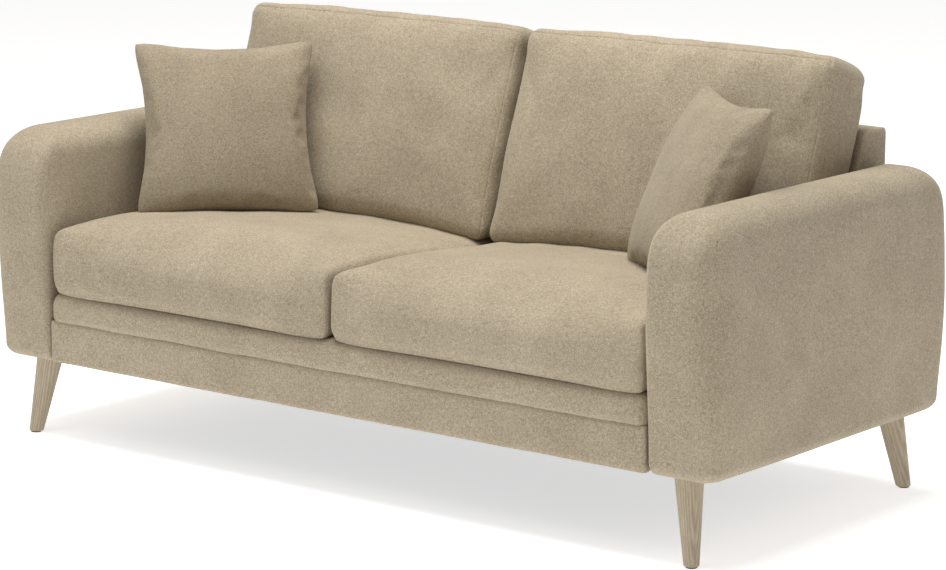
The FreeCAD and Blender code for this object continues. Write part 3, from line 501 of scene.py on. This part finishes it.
def armLevels():
    # Heights, closer together where the form turns in, and each level's half width, inward shift and ends.
    # The crest is half * (1 - t^p)^(1/p); the foot is a quarter round.
    spec = arms
    low = spec["bottom"] + spec["footRound"] * (1 - np.cos(np.linspace(0, math.pi / 2, spec["footLevels"])))
    high = spec["top"] - spec["frontRise"] * (1 - np.sin(np.linspace(0, math.pi / 2, spec["crestLevels"])))
    z = np.concatenate([low, np.linspace(low[-1], high[0], spec["bodyLevels"])[1:-1], high])
    crest = np.clip((z - spec["top"] + spec["crestRise"]) / spec["crestRise"], 0, 1)
    narrow = (1 - crest ** spec["crestPower"]) ** (1 / spec["crestPower"])
    foot = np.clip((spec["bottom"] + spec["footRound"] - z) / spec["footRound"], 0, 1)
    tuck = spec["footRound"] * (1 - np.sqrt(1 - foot ** 2))
    # mostly the outer side draws in, so each level's middle moves inwards by a share of that
    drop = eased(spec["sideDrop"], z) / 2
    half = (spec["halfWidth"] - drop) * narrow - spec["footShare"] * tuck
    drop = drop + (1 - spec["footShare"]) * tuck

    def rounding(rise, reach):
        # how far an end has turned in: reach * (1 - (1 - t^p)^(1/p)), t rising from 0 to 1 at the crest
        t = np.clip((z - spec["top"] + rise) / rise, 0, 1)
        return reach * (1 - (1 - t ** spec["endPower"]) ** (1 / spec["endPower"]))

    front = spec["front"] + eased(spec["frontDrop"], z)
    front = front + rounding(spec["frontRise"], spec["frontRound"]) + tuck
    rear = spec["rear"] - eased(spec["rearDrop"], z)
    rear = rear - rounding(spec["rearRise"], spec["rearRound"]) - tuck
    # the flat underside: levels that shrink to a line
    shrink = np.linspace(0, 1, spec["soleRings"] + 1)[:-1]
    ridge = half[0] * spec["soleShare"]
    half = np.concatenate([half[0] * shrink, half])
    drop = np.concatenate([np.full(len(shrink), drop[0]), drop])
    front = np.concatenate([front[0] + ridge * (1 - shrink), front])
    rear = np.concatenate([rear[0] - ridge * (1 - shrink), rear])
    z = np.concatenate([np.full(len(shrink), z[0]), z])
    return z, np.maximum(half, 1e-6), drop, front, rear


def armOutline():
    # Once round a level, from the outer side's front: where each point is along the straight stretches, from
    # -1 to 1, and which way a corner's radius takes it.
    spec = arms
    turn = np.linspace(0, math.pi / 2, spec["cornerSteps"] + 1)[:-1]
    parts = []
    for quarter, (x, y) in enumerate(((1, 1), (-1, 1), (-1, -1), (1, -1))):
        # the stretch that leads to this corner: a side before the first and third, an end before the others
        side = quarter % 2 == 0
        t = np.linspace(0, 1, (spec["sideSteps"] if side else spec["endSteps"]) + 1)[:-1]
        level = np.ones(len(t))
        if side:
            parts.append(np.stack([x * level, y * (2 * t - 1), x * level, 0 * level]))
        else:
            parts.append(np.stack([x * (2 * t - 1), y * level, 0 * level, y * level]))
        corner = np.ones(len(turn))
        angle = turn + quarter * math.pi / 2
        parts.append(np.stack([x * corner, y * corner, np.cos(angle), np.sin(angle)]))
    return np.concatenate(parts, axis=1)


def armPoints(side):
    # At every level, a point is flat * (half size - corner radius) + turn * corner radius on both axes.
    spec = arms
    z, half, drop, front, rear = armLevels()
    flatX, flatY, turnX, turnY = armOutline()
    outer, fore = (1 + flatX) / 2, (1 - flatY) / 2
    share = np.clip(half / spec["halfWidth"], 0, 1)[:, None]
    frontCorner, rearCorner, innerCorner = (eased(spec[key], z)[:, None]
                                            for key in ("frontCorner", "rearCorner", "innerCorner"))
    turned = fore * frontCorner + (1 - fore) * rearCorner
    inward = (1 - outer) * innerCorner
    cornerX = (outer * turned + inward) * share
    cornerY = (outer * turned * spec["cornerRatio"] + inward * spec["innerRatio"]) * share
    middleY, halfY = ((front + rear) / 2)[:, None], ((rear - front) / 2)[:, None]
    x = flatX * (half[:, None] - cornerX) + turnX * cornerX
    y = middleY + flatY * (halfY - cornerY) + turnY * cornerY
    # both sides swell a little towards the middle of their length
    x = x * (1 + spec["sideBulge"] / spec["halfWidth"] * (bump((y - middleY) / halfY) - 0.5))
    x = x - drop[:, None]
    points = np.stack([x, y, np.broadcast_to(z[:, None], x.shape)], axis=-1).reshape(-1, 3)
    index = np.arange(len(points)).reshape(x.shape)
    after = np.roll(index, -1, axis=1)
    faces = np.stack([index[:-1], after[:-1], after[1:], index[1:]], axis=-1).reshape(-1, 4)
    points[:, 0] *= 1 + ripple(points, spec["unevenSize"], spec["unevenShare"], 11 + side)
    points[:, 0] = side * (spec["middleX"] + points[:, 0])
    return points, faces


for sideName, side in sides:
    points, faces = armPoints(side)
    arm = meshPiece(f"armUpholstery_{sideName}", points, faces, upholstery, weld=2e-5)
    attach(arm, "root")
    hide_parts(f"arm_cover_{sideName}", f"arm_padding_{sideName}")
print("arms made")


# Seat rail upholstery: a flat lower panel and a soft band over it, both with a swell along the middle.
rail = {
    "step": 0.008, "leastRows": 5, "swellPower": 8, "unevenSize": 0.16,
    "panel": {"x": (-0.7755, 0.7755), "y": (-0.4055, -0.3885), "z": (0.1712, 0.2615), "swell": 0.001,
              "radiusLow": (0.004, 0.006, 0.005), "radiusHigh": (0.004, 0.003, 0.004),
              "uneven": 0.0006, "seed": 31},
    "band": {"x": (-0.7758, 0.7758), "y": (-0.408, -0.341), "z": (0.2505, 0.3218), "swell": 0.003,
             "radiusLow": (0.02, 0.026, 0.024), "radiusHigh": (0.02, 0.01, 0.03),
             "uneven": 0.001, "seed": 32},
}


def softBoard(name, spec):
    # A rounded box whose front swells by swell * (1 - z^2) * (1 - x^8), over its height and its length.
    half, middle = boxSpan(spec)
    steps = [spaced(-h, h, min(rail["step"], h / rail["leastRows"])) for h in half]
    lattice, faces, _ = boxLattice(*steps)
    points, outward = roundedBox(lattice, half, spec["radiusLow"], spec["radiusHigh"])
    reach = points / half
    swell = spec["swell"] * np.clip(-outward[:, 1], 0, 1)
    points[:, 1] -= swell * bump(reach[:, 2]) * bump(reach[:, 0], rail["swellPower"])
    points += outward * ripple(points, rail["unevenSize"], spec["uneven"], spec["seed"])[:, None]
    return meshPiece(name, points + middle, faces, upholstery)


panel = softBoard("railPanel", rail["panel"])
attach(panel, "root")
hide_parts("front_panel")
band = softBoard("railBand", rail["band"])
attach(band, "root")
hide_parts("front_band_cover", "front_band_padding")
print("seat rail covered")


# Back frame: a rounded slab whose front leans and whose foot is cut back below the deck.
back = {
    "halfX": 0.778, "halfDepth": 0.04, "bottom": 0.171, "top": 0.724, "rear": 0.4203, "topFront": 0.3405,
    "lean": math.radians(19), "foot": 0.3728, "deck": 0.3221, "ledge": 0.0006,
    "step": 0.01, "depthStep": 0.006, "edgeRows": (0, 0.0012, 0.003, 0.0052),
    "radiusLow": (0.005, 0.012, 0.008), "radiusHigh": (0.005, 0.006, 0.012), "power": 2.2,
    "crown": 0.0015, "crownPower": 6, "rearSwell": 0.0015, "rearMiddle": 0.45, "rearReach": 0.28,
}


def backSlab():
    # A rounded box whose depth runs from the leaning front, or below the deck from the foot, to the rear.
    # The rear swells by rearSwell * (1 - x^2) * (1 - z^2), and the top is crowned.
    middleZ = (back["top"] + back["bottom"]) / 2
    half = np.array([back["halfX"], back["halfDepth"], back["top"] - middleZ])
    rows = np.array(back["edgeRows"])
    xs = spaced(rows[-1] - half[0], half[0] - rows[-1], back["step"])
    xs = np.concatenate([-half[0] + rows[:-1], xs, (half[0] - rows[:-1])[::-1]])
    ys = np.unique(np.concatenate([spaced(-half[1], half[1], back["depthStep"]), half[1] - rows]))
    zs = spaced(-half[2], half[2], back["step"])
    ledge = back["deck"] - middleZ
    clear = np.abs(zs - ledge) > back["depthStep"]
    zs = np.unique(np.concatenate([zs[clear], [ledge - back["ledge"], ledge + back["ledge"]]]))
    lattice, faces, _ = boxLattice(xs, ys, zs)
    points, outward = roundedBox(lattice, half, back["radiusLow"], back["radiusHigh"], back["power"])
    share = (points[:, 1] + half[1]) / (2 * half[1])
    along = points[:, 0] / half[0]
    z = points[:, 2] + middleZ
    leaning = back["topFront"] - (back["top"] - z) * math.tan(back["lean"])
    front = np.where(z > back["deck"], leaning, back["foot"])
    points[:, 2] = z + back["crown"] * outward[:, 2] * bump(along, back["crownPower"])
    points[:, 1] = front + (back["rear"] - front) * share
    facing = np.clip(outward[:, 1], 0, 1)
    swell = facing * bump((z - back["rearMiddle"]) / back["rearReach"]) * bump(along)
    points[:, 1] -= back["rearSwell"] * (1 - swell) * facing
    return points, faces


points, faces = backSlab()
slab = meshPiece("backUpholstery", points, faces, upholstery)
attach(slab, "root")
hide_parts("back_cover", "back_padding")
print("back frame covered")


# Seat deck: a felt pad under lining cloth, with a sewn line near its front edge.
deck = {
    "x": (-0.7755, 0.7755), "y": (-0.34, 0.372), "z": (0.2982, 0.3216), "step": 0.012, "thickStep": 0.004,
    "radiusLow": (0.006, 0.006, 0.003), "radiusHigh": (0.006, 0.008, 0.008), "dish": 0.0045, "dishPower": 4,
    "seamBack": 0.095, "seamRows": (-0.007, -0.003, -0.001, 0, 0.001, 0.003, 0.007), "seamReach": 0.008,
    "seamDepth": 0.0022, "seamWidth": 0.0022, "waves": (37, 31), "waveDepth": 0.0008,
}


def deckPad():
    # A rounded box whose top is dished by dish * (1 - x^4) * (1 - y^4), with slow waves both ways and a
    # seam's groove, depth * e^-(distance / width)^2.
    half, middle = boxSpan(deck)
    seamAt = -half[1] + deck["seamBack"]
    xs = spaced(-half[0], half[0], deck["step"])
    ys = spaced(-half[1], half[1], deck["step"],
                [{"at": seamAt, "reach": deck["seamReach"], "rows": deck["seamRows"]}])
    zs = spaced(-half[2], half[2], deck["thickStep"])
    lattice, faces, _ = boxLattice(xs, ys, zs)
    points, outward = roundedBox(lattice, half, deck["radiusLow"], deck["radiusHigh"])
    x, y, _ = points.T
    dish = deck["dish"] * bump(x / half[0], deck["dishPower"]) * bump(y / half[1], deck["dishPower"])
    seam = deck["seamDepth"] * np.exp(-((y - seamAt) / deck["seamWidth"]) ** 2)
    wave = deck["waveDepth"] * (1 + np.sin(x * deck["waves"][0]) * np.sin(y * deck["waves"][1]))
    points[:, 2] -= np.clip(outward[:, 2], 0, 1) * (dish + seam + wave)
    return points + middle, faces


points, faces = deckPad()
deckPiece = meshPiece("deckPlatform", points, faces, lining)
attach(deckPiece, "root")
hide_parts("deck_pad")
print("deck made")


# Seat cushions: their tops and fronts swell into one another; they are flat below and where the zip is sewn.
seat = {
    "x": (0.002, 0.772), "y": (-0.4112, 0.2), "z": (0.3225, 0.46), "coarse": 0.014, "fine": 0.0065,
    "tight": ((0.019, 0.02, 0.028), (0.019, 0.026, 0.04)),
    "loose": ((0.045, 0.045, 0.036), (0.045, 0.03, 0.088)),
    "fallDepth": 0.13, "power": 2.1, "middlePower": 3.2,
    # height of the top along the cushion's ends, from front to rear
    "top": ((-0.4125, 0.461), (-0.36, 0.464), (-0.25, 0.466), (-0.125, 0.459), (0.0, 0.448), (0.09, 0.441),
            (0.2, 0.437)),
    "crown": 0.0225, "crownPower": 2.3, "crownFront": (-0.43, -0.21), "crownRear": (0.1, 0.22),
    "crownLoss": 0.35,
    "frontSwell": 0.006, "lip": 0.0115, "lipDepth": (0.372, 0.402),
    "puff": {"pressure": 3.5, "steps": 18, "cap": 0.005, "bending": 2.0, "quality": 5},
    "wrinkle": 0.0018, "wrinkleSize": 0.13, "rearFade": 1.6,
    "lowest": 0.3227, "lipEnd": -0.37, "ends": (0.0022, 0.7745), "rear": 0.2003,
}


def seatForm(lattice, half):
    # Two rounded boxes, one tight for the ends and one with a deep fall at its front for the middle, are
    # mixed by how far a point is from the ends. Then the top follows its line from front to rear and is
    # crowned, the front swells, and its lower edge drops over the band as a lip.
    tight, outward = roundedBox(lattice, half, *seat["tight"], seat["power"])
    low = np.tile(seat["loose"][0], (len(lattice), 1))
    low[:, 1] = np.where(lattice[:, 2] > 0, seat["fallDepth"], low[:, 1])
    loose, outwardLoose = roundedBox(lattice, half, low, seat["loose"][1], seat["power"])
    middle = bump(lattice[:, 0] / half[0], seat["middlePower"])[:, None]
    points = tight * (1 - middle) + loose * middle
    outward = outward * (1 - middle) + outwardLoose * middle
    x, y, z = (lattice / half).T
    depth = points[:, 1] + (seat["y"][0] + seat["y"][1]) / 2
    up = ramp(points[:, 2] / half[2], -0.3, 1)
    crown = seat["crown"] * bump(x, seat["crownPower"]) * ramp(depth, *seat["crownFront"])
    crown *= 1 - seat["crownLoss"] * ramp(depth, *seat["crownRear"])
    points[:, 2] += up * (eased(seat["top"], depth) - seat["z"][1] + crown)
    points[:, 1] -= seat["frontSwell"] * ramp(-y, 0.75, 1) * bump(x, 3) * bump(z * 0.9, 2.2)
    points[:, 2] -= seat["lip"] * ramp(-depth, *seat["lipDepth"]) * ramp(-z, -0.0625, 0.5625) * bump(x, 10)
    return points, outward


def seatCushion(side, sideName):
    # The form, moved by a blown-up coarse shell of itself and by fine wrinkles along the way out.
    half, middle = boxSpan(seat)
    coarse = [spaced(-h, h, seat["coarse"]) for h in half]
    lattice, faces, rim = boxLattice(*coarse)
    start, outward = seatForm(lattice, half)
    held = (outward[:, 2] < -0.7) | (outward[:, 1] > 0.6)
    moves = puffMoves(start, faces, held, seat["puff"])
    fine = [spaced(-h, h, seat["fine"]) for h in half]
    lattice, faces, _ = boxLattice(*fine)
    points, outward = seatForm(lattice, half)
    points += carriedOver(moves, rim, coarse, fine, lattice)
    wrinkle = ripple(points, seat["wrinkleSize"], seat["wrinkle"], 51 + side)
    points += outward * (freeSkin(outward, seat["rearFade"]) * wrinkle)[:, None]
    points += middle
    # it lies flat on the deck behind its lip and stays clear of its neighbours
    behindLip = points[:, 1] > seat["lipEnd"]
    points[:, 2] = np.where(behindLip, np.maximum(points[:, 2], seat["lowest"]), points[:, 2])
    points[:, 0] = np.clip(points[:, 0], *seat["ends"])
    points[:, 1] = np.minimum(points[:, 1], seat["rear"])
    points, faces = onSide(side, points, faces)
    cushion = meshPiece(f"seatCushion_{sideName}", points, faces, upholstery)
    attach(cushion, f"seat_cushion_{sideName}")
    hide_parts(f"seat_cover_{sideName}", f"seat_core_{sideName}")


for sideName, side in sides:
    seatCushion(side, sideName)
print("seat cushions made")


# Zip teeth: two rows of short bars along the middle of each zip tape, each between two of the other row.
teeth = {
    "x": (0.09, 0.685), "y": (0.2002, 0.2009), "z": 0.4012, "pitch": 0.0028, "width": 0.0011,
    "lap": 0.0004, "reach": 0.003,
}


def zipTeeth(side, sideName):
    # A tooth is a box; its eight corners are the tooth's place plus a pattern of halves of its size.
    at = np.arange(teeth["x"][0], teeth["x"][1], teeth["pitch"])
    at = np.concatenate([at, at + teeth["pitch"] / 2])
    row = np.repeat([-1, 1], len(at) // 2)
    pattern = np.array([(i, j, k) for i in (0, 1) for j in (0, 1) for k in (0, 1)])
    x = at[:, None] + (pattern[:, 0] - 0.5) * teeth["width"]
    y = np.broadcast_to(np.array(teeth["y"])[pattern[:, 1]], x.shape)
    z = teeth["z"] + row[:, None] * np.array([-teeth["lap"], teeth["reach"]])[pattern[:, 2]]
    points = np.stack([side * x, y, z], axis=-1).reshape(-1, 3)
    quads = np.array([(0, 1, 3, 2), (4, 6, 7, 5), (0, 4, 5, 1), (2, 3, 7, 6), (0, 2, 6, 4), (1, 5, 7, 3)])
    faces = (np.arange(len(at))[:, None, None] * 8 + quads).reshape(-1, 4)
    rows = meshPiece(f"zipTeeth_{sideName}", points, faces, nickel, weld=1e-6)
    rows.data.polygons.foreach_set("use_smooth", np.zeros(len(rows.data.polygons), bool))
    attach(rows, f"seat_cushion_{sideName}")


for sideName, side in sides:
    zipTeeth(side, sideName)
print("zip teeth made")


# Back cushions: a leaning box with a sewn line round its front and its rear, and a swollen face.
backCushion = {
    "x": (0.005, 0.7715), "bottom": 0.464, "frontY": 0.0885, "lean": math.radians(19), "thickness": 0.15,
    "length": 0.453, "coarse": 0.014, "fine": 0.006,
    "edgeRows": (0, 0.0012, 0.0028, 0.005, 0.008), "edge": 0.012,
    "radiusLow": (0.027, 0.022, 0.032), "radiusHigh": (0.027, 0.05, 0.032), "power": 2.1,
    "faceSwell": 0.014, "topSwell": 0.016, "endSwell": 0.007, "footDrop": 0.02, "footRise": 0.16,
    "puff": {"pressure": 3.0, "steps": 18, "cap": 0.006, "bending": 2.0, "quality": 5},
    "seamDepth": 0.002, "faintSeam": 0.35, "seamWidth": 0.0024, "seamTurn": 0.004,
    "wrinkle": 0.002, "wrinkleSize": 0.12, "rearFade": 1.4, "ends": (0.004, 0.774),
}


def backCushionForm(lattice, half):
    # A rounded box whose face, top and two ends swell, each by its swell times a falling power of the
    # distance from that side's middle.
    spec = backCushion
    points, outward = roundedBox(lattice, half, spec["radiusLow"], spec["radiusHigh"], spec["power"])
    x, y, z = (points / half).T
    points[:, 1] -= spec["faceSwell"] * ramp(-y, 0.4, 0.9) * bump(x, 3.2) * bump(z, 3.0)
    points[:, 2] += spec["topSwell"] * ramp(z, 2 / 3, 1) * bump(x, 5) * bump(y, 2.0)
    points[:, 0] += np.sign(x) * spec["endSwell"] * ramp(np.abs(x), 0.93, 1) * bump(z, 2) * bump(y, 2)
    return points, outward


def leaned(points, half):
    # From the cushion's own box to its place: up runs along the lean, and the foot is cut level.
    spec = backCushion
    lean = spec["lean"]
    depth = points[:, 1] + half[1]
    height = points[:, 2] + half[2]
    height = depth * math.tan(lean) * np.clip(1 - height / (2 * half[2]), -0.2, 1) + height
    x = points[:, 0] + (spec["x"][0] + spec["x"][1]) / 2
    y = spec["frontY"] + depth * math.cos(lean) + height * math.sin(lean)
    z = spec["bottom"] - depth * math.sin(lean) + height * math.cos(lean)
    # the foot follows the crown of the seat cushion under it
    ends = 1 - bump(points[:, 0] / half[0], seat["crownPower"])
    z = z - spec["footDrop"] * ends * (1 - ramp(z, spec["bottom"], spec["bottom"] + spec["footRise"]))
    return np.stack([x, y, z], axis=1)


def seamPress(lattice, half):
    # How deep the sewn lines between border and face press in: depth * e^-(distance / width)^2, strong along
    # the top and faint elsewhere. The distance is measured along the surface from the box's edge.
    spec = backCushion
    inset = np.minimum(half[0] - np.abs(lattice[:, 0]), half[2] - np.abs(lattice[:, 2]))
    strength = np.where(half[2] - lattice[:, 2] <= inset + spec["seamTurn"], 1.0, spec["faintSeam"])
    seam = np.zeros(len(lattice))
    for edge in (lattice[:, 1] + half[1], half[1] - lattice[:, 1]):
        seam += np.exp(-((edge + inset) / spec["seamWidth"]) ** 2)
    return spec["seamDepth"] * seam * strength


def backCushionPiece(side, sideName):
    # The form, moved by a blown-up coarse shell of itself, pressed in along its seams, wrinkled and leaned.
    spec = backCushion
    half = np.array([(spec["x"][1] - spec["x"][0]) / 2, spec["thickness"] / 2, spec["length"] / 2])
    coarse = [spaced(-h, h, spec["coarse"]) for h in half]
    lattice, faces, rim = boxLattice(*coarse)
    start, outward = backCushionForm(lattice, half)
    held = (outward[:, 2] < -0.7) | (outward[:, 1] > 0.7)
    moves = puffMoves(start, faces, held, spec["puff"])
    rows = np.array(spec["edgeRows"])
    fine = []
    for h in half:
        inside = spaced(-h + spec["edge"], h - spec["edge"], spec["fine"])
        fine.append(np.concatenate([-h + rows, inside, (h - rows)[::-1]]))
    lattice, faces, _ = boxLattice(*fine)
    points, outward = backCushionForm(lattice, half)
    points += carriedOver(moves, rim, coarse, fine, lattice)
    points -= outward * seamPress(lattice, half)[:, None]
    wrinkle = ripple(points, spec["wrinkleSize"], spec["wrinkle"], 71 + side)
    points += outward * (freeSkin(outward, spec["rearFade"]) * wrinkle)[:, None]
    points = leaned(points, half)
    points[:, 0] = np.clip(points[:, 0], *spec["ends"])
    points, faces = onSide(side, points, faces)
    cushion = meshPiece(f"backCushion_{sideName}", points, faces, upholstery)
    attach(cushion, f"back_cushion_{sideName}")
    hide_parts(f"back_cushion_cover_{sideName}", f"back_cushion_core_{sideName}")


for sideName, side in sides:
    backCushionPiece(side, sideName)
print("back cushions made")


# Scatter cushions: two square sheets sewn along their edges and blown up.
scatter = {
    "count": 60, "spacing": (0.7, 0.3), "thickness": 0.132,
    "sidePull": 0.085, "topPull": 0.07, "restPull": 0.012,
    "cornerRound": 0.05, "cornerPower": 7, "domePower": 0.5, "bulk": 0.86,
    "puff": {"pressure": 3.0, "steps": 16, "cap": 0.014, "bending": 1.0, "quality": 6},
    "pucker": 0.0016, "puckerSize": 0.045, "puckerReach": 0.1, "puckerDepth": 0.012,
    "sway": 0.0036, "swaySize": 0.2, "slump": 0.072,
    "left": {"middle": (-0.601, -0.0355, 0.65), "turn": 44.4, "lean": 24.6,
             "size": (0.384, 0.376), "seed": 61},
    "right": {"middle": (0.619, -0.0135, 0.643), "turn": -35.7, "lean": 24.9,
              "size": (0.378, 0.378), "seed": 67},
}


def pillowSheets(spec):
    # Two square grids that share their rim. The sides curve in between the corners, and each sheet bows out
    # by bulk * thickness / 2 * ((1 - u^2) (1 - v^2))^power. Small folds run in from the seam.
    n = scatter["count"]
    even = np.linspace(-1, 1, n + 1)
    line = scatter["spacing"][0] * even + scatter["spacing"][1] * np.sin(even * math.pi / 2)
    u, v = np.meshgrid(line, line, indexing="ij")
    across, upward = np.array(spec["size"]) / 2
    ear = 1 - scatter["cornerRound"] * (np.abs(u) * np.abs(v)) ** scatter["cornerPower"]
    x = u * across * ear * (1 - scatter["sidePull"] * (1 - v ** 2))
    z = v * upward * ear * (1 - np.where(v > 0, scatter["topPull"], scatter["restPull"]) * (1 - u ** 2))
    bow = np.clip((1 - u ** 2) * (1 - v ** 2), 0, 1) ** scatter["domePower"]
    dome = scatter["bulk"] * scatter["thickness"] / 2 * bow
    edge = np.exp(-(1 - np.maximum(np.abs(u), np.abs(v))) / scatter["puckerReach"])
    flat = np.stack([x, np.zeros_like(x), z], axis=-1).reshape(-1, 3)
    front = np.stack([x, -dome, z], axis=-1)
    rear = np.stack([x, dome, z], axis=-1)
    sway = ripple(flat, scatter["swaySize"], scatter["sway"], spec["seed"] + 2).reshape(u.shape)
    for sheet, seed in ((front, spec["seed"]), (rear, spec["seed"] + 1)):
        fold = ripple(flat, scatter["puckerSize"], scatter["pucker"], seed).reshape(u.shape)
        sheet[..., 1] += fold * edge * (1 - edge) * 4 * np.clip(dome / scatter["puckerDepth"], 0, 1)
        sheet[..., 1] += sway
    index = np.arange((n + 1) ** 2).reshape(n + 1, n + 1)
    inside = np.zeros(index.shape, bool)
    inside[1:-1, 1:-1] = True
    rearIndex = index.copy()
    rearIndex[inside] = (n + 1) ** 2 + np.arange(inside.sum())
    points = np.concatenate([front.reshape(-1, 3), rear[inside]])
    faces = np.concatenate([gridFaces(index), gridFaces(rearIndex)[:, ::-1]])
    corners = [index[0, 0], index[-1, 0], index[-1, -1], index[0, -1]]
    return points, faces, corners


def scatterPiece(sideName):
    # The two sheets are blown up, brought to size and turned: across, out and up become three leaning axes.
    spec = scatter[sideName]
    points, faces, corners = pillowSheets(spec)
    points = points + puffMoves(points, faces, None, scatter["puff"])
    # the filling settles a little, so the lower half is the fuller one
    low = -points[:, 2] / spec["size"][1]
    points[:, 1] *= 1 + scatter["slump"] * low * bump(points[:, 0] / spec["size"][0] * 2)
    # the size: tip to tip across, the thickness, and tip to tip up
    tips = points[corners]
    across = (tips[1, 0] - tips[0, 0] + tips[2, 0] - tips[3, 0]) / 2
    upward = (tips[2, 2] - tips[1, 2] + tips[3, 2] - tips[0, 2]) / 2
    deep = points[:, 1].max() - points[:, 1].min()
    points = points * (spec["size"][0] / across, scatter["thickness"] / deep, spec["size"][1] / upward)
    turn, lean = math.radians(spec["turn"]), math.radians(spec["lean"])
    uAxis = np.array([math.cos(turn), math.sin(turn), 0])
    facing = np.array([math.sin(turn), -math.cos(turn), 0])
    vAxis = -facing * math.sin(lean) + np.array([0, 0, math.cos(lean)])
    wAxis = facing * math.cos(lean) + np.array([0, 0, math.sin(lean)])
    points = points @ np.stack([uAxis, -wAxis, vAxis]) + np.array(spec["middle"])
    cushion = meshPiece(f"scatterCushion_{sideName}", points, faces, scatterCloth)
    finer = cushion.modifiers.new("finer", "SUBSURF")
    finer.levels = finer.render_levels = 1
    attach(cushion, f"scatter_cushion_{sideName}")
    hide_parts(f"scatter_cover_{sideName}", f"scatter_pad_{sideName}")


for sideName in ("left", "right"):
    scatterPiece(sideName)
print("scatter cushions made")


# Dust cover: thin lining stretched under the seat frame, sagging a little between its staples.
dust = {
    "x": 0.776, "y": (-0.388, 0.3725), "z": 0.1748, "step": 0.016,
    "sag": 0.0025, "sagPowers": (6, 4), "waves": (40, 3), "waveShare": 0.25,
}


def dustSheet():
    # A flat grid that hangs by sag * (1 - x^6) * (1 - y^4), with faint slanting waves.
    low, high = dust["y"]
    xs = np.linspace(-dust["x"], dust["x"], round(2 * dust["x"] / dust["step"]) + 1)
    ys = np.linspace(low, high, round((high - low) / dust["step"]) + 1)
    x, y = np.meshgrid(xs, ys, indexing="ij")
    across = (y - (low + high) / 2) / (high - low) * 2
    wave = 1 + dust["waveShare"] * np.sin(x * dust["waves"][0] + across * dust["waves"][1])
    sag = dust["sag"] * bump(x / dust["x"], dust["sagPowers"][0]) * bump(across, dust["sagPowers"][1]) * wave
    points = np.stack([x, y, dust["z"] - sag], axis=-1).reshape(-1, 3)
    index = np.arange(len(points)).reshape(x.shape)
    return points, gridFaces(index)[:, [0, 3, 2, 1]]


points, faces = dustSheet()
dustPiece = meshPiece("dustSheet", points, faces, dustCloth)
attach(dustPiece, "root")
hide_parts("dust_cover")
print("dust cover made")


# Floor, light and camera.
studio = {
    "floorReach": 30.0, "floorTone": (0.85, 0.85, 0.85, 1), "floorGlow": 0.63,
    "air": (1.0, 0.985, 0.96, 1), "airStrength": 0.34, "aim": (0, 0, 0.4),
    "lamps": {
        "key": {"at": (-1.6, -3.0, 4.6), "size": 2.6, "power": 34.0, "colour": (1.0, 0.98, 0.95)},
        "top": {"at": (-0.1, -0.2, 4.6), "size": 3.0, "power": 206.0, "colour": (1.0, 0.985, 0.96)},
    },
    "camera": {"target": (0.12257, -0.09254, 0.4), "azimuth": 38.295, "elevation": 11.244, "distance": 6.897,
               "lens": 129.35, "sensor": 36},
}
scene = bpy.context.scene

paleFloor = Finish("paleFloor", roughness=0.9, specular=0.1)
paleFloor.shader.inputs["Base Color"].default_value = studio["floorTone"]
paleFloor.shader.inputs["Emission Color"].default_value = (1, 1, 1, 1)
paleFloor.shader.inputs["Emission Strength"].default_value = studio["floorGlow"]
corners = np.array([(-1, -1, 0), (1, -1, 0), (1, 1, 0), (-1, 1, 0)]) * studio["floorReach"]
floor = meshPiece("floor", corners, np.array([(0, 1, 2, 3)]), paleFloor.material)

world = bpy.data.worlds.new("studio")
scene.world = world
world.use_nodes = True
world.node_tree.nodes["Background"].inputs["Color"].default_value = studio["air"]
world.node_tree.nodes["Background"].inputs["Strength"].default_value = studio["airStrength"]


for name, spec in studio["lamps"].items():
    light = bpy.data.lights.new(name, "AREA")
    light.shape = "DISK"
    light.size = spec["size"]
    light.energy = spec["power"]
    light.color = spec["colour"]
    lamp = bpy.data.objects.new(name, light)
    scene.collection.objects.link(lamp)
    lamp.location = spec["at"]
    lamp.rotation_euler = (Vector(studio["aim"]) - Vector(spec["at"])).to_track_quat("-Z", "Y").to_euler()

viewpoint = studio["camera"]
azimuth, elevation = math.radians(viewpoint["azimuth"]), math.radians(viewpoint["elevation"])
level = math.cos(elevation)
away = Vector((math.sin(azimuth) * level, -math.cos(azimuth) * level, math.sin(elevation)))
camera = bpy.data.objects.new("camera", bpy.data.cameras.new("camera"))
scene.collection.objects.link(camera)
camera.data.lens = viewpoint["lens"]
camera.data.sensor_width = viewpoint["sensor"]
camera.location = Vector(viewpoint["target"]) + away * viewpoint["distance"]
camera.rotation_euler = (-away).to_track_quat("-Z", "Y").to_euler()
scene.camera = camera
scene.view_settings.view_transform = "Standard"
print("light and camera set")
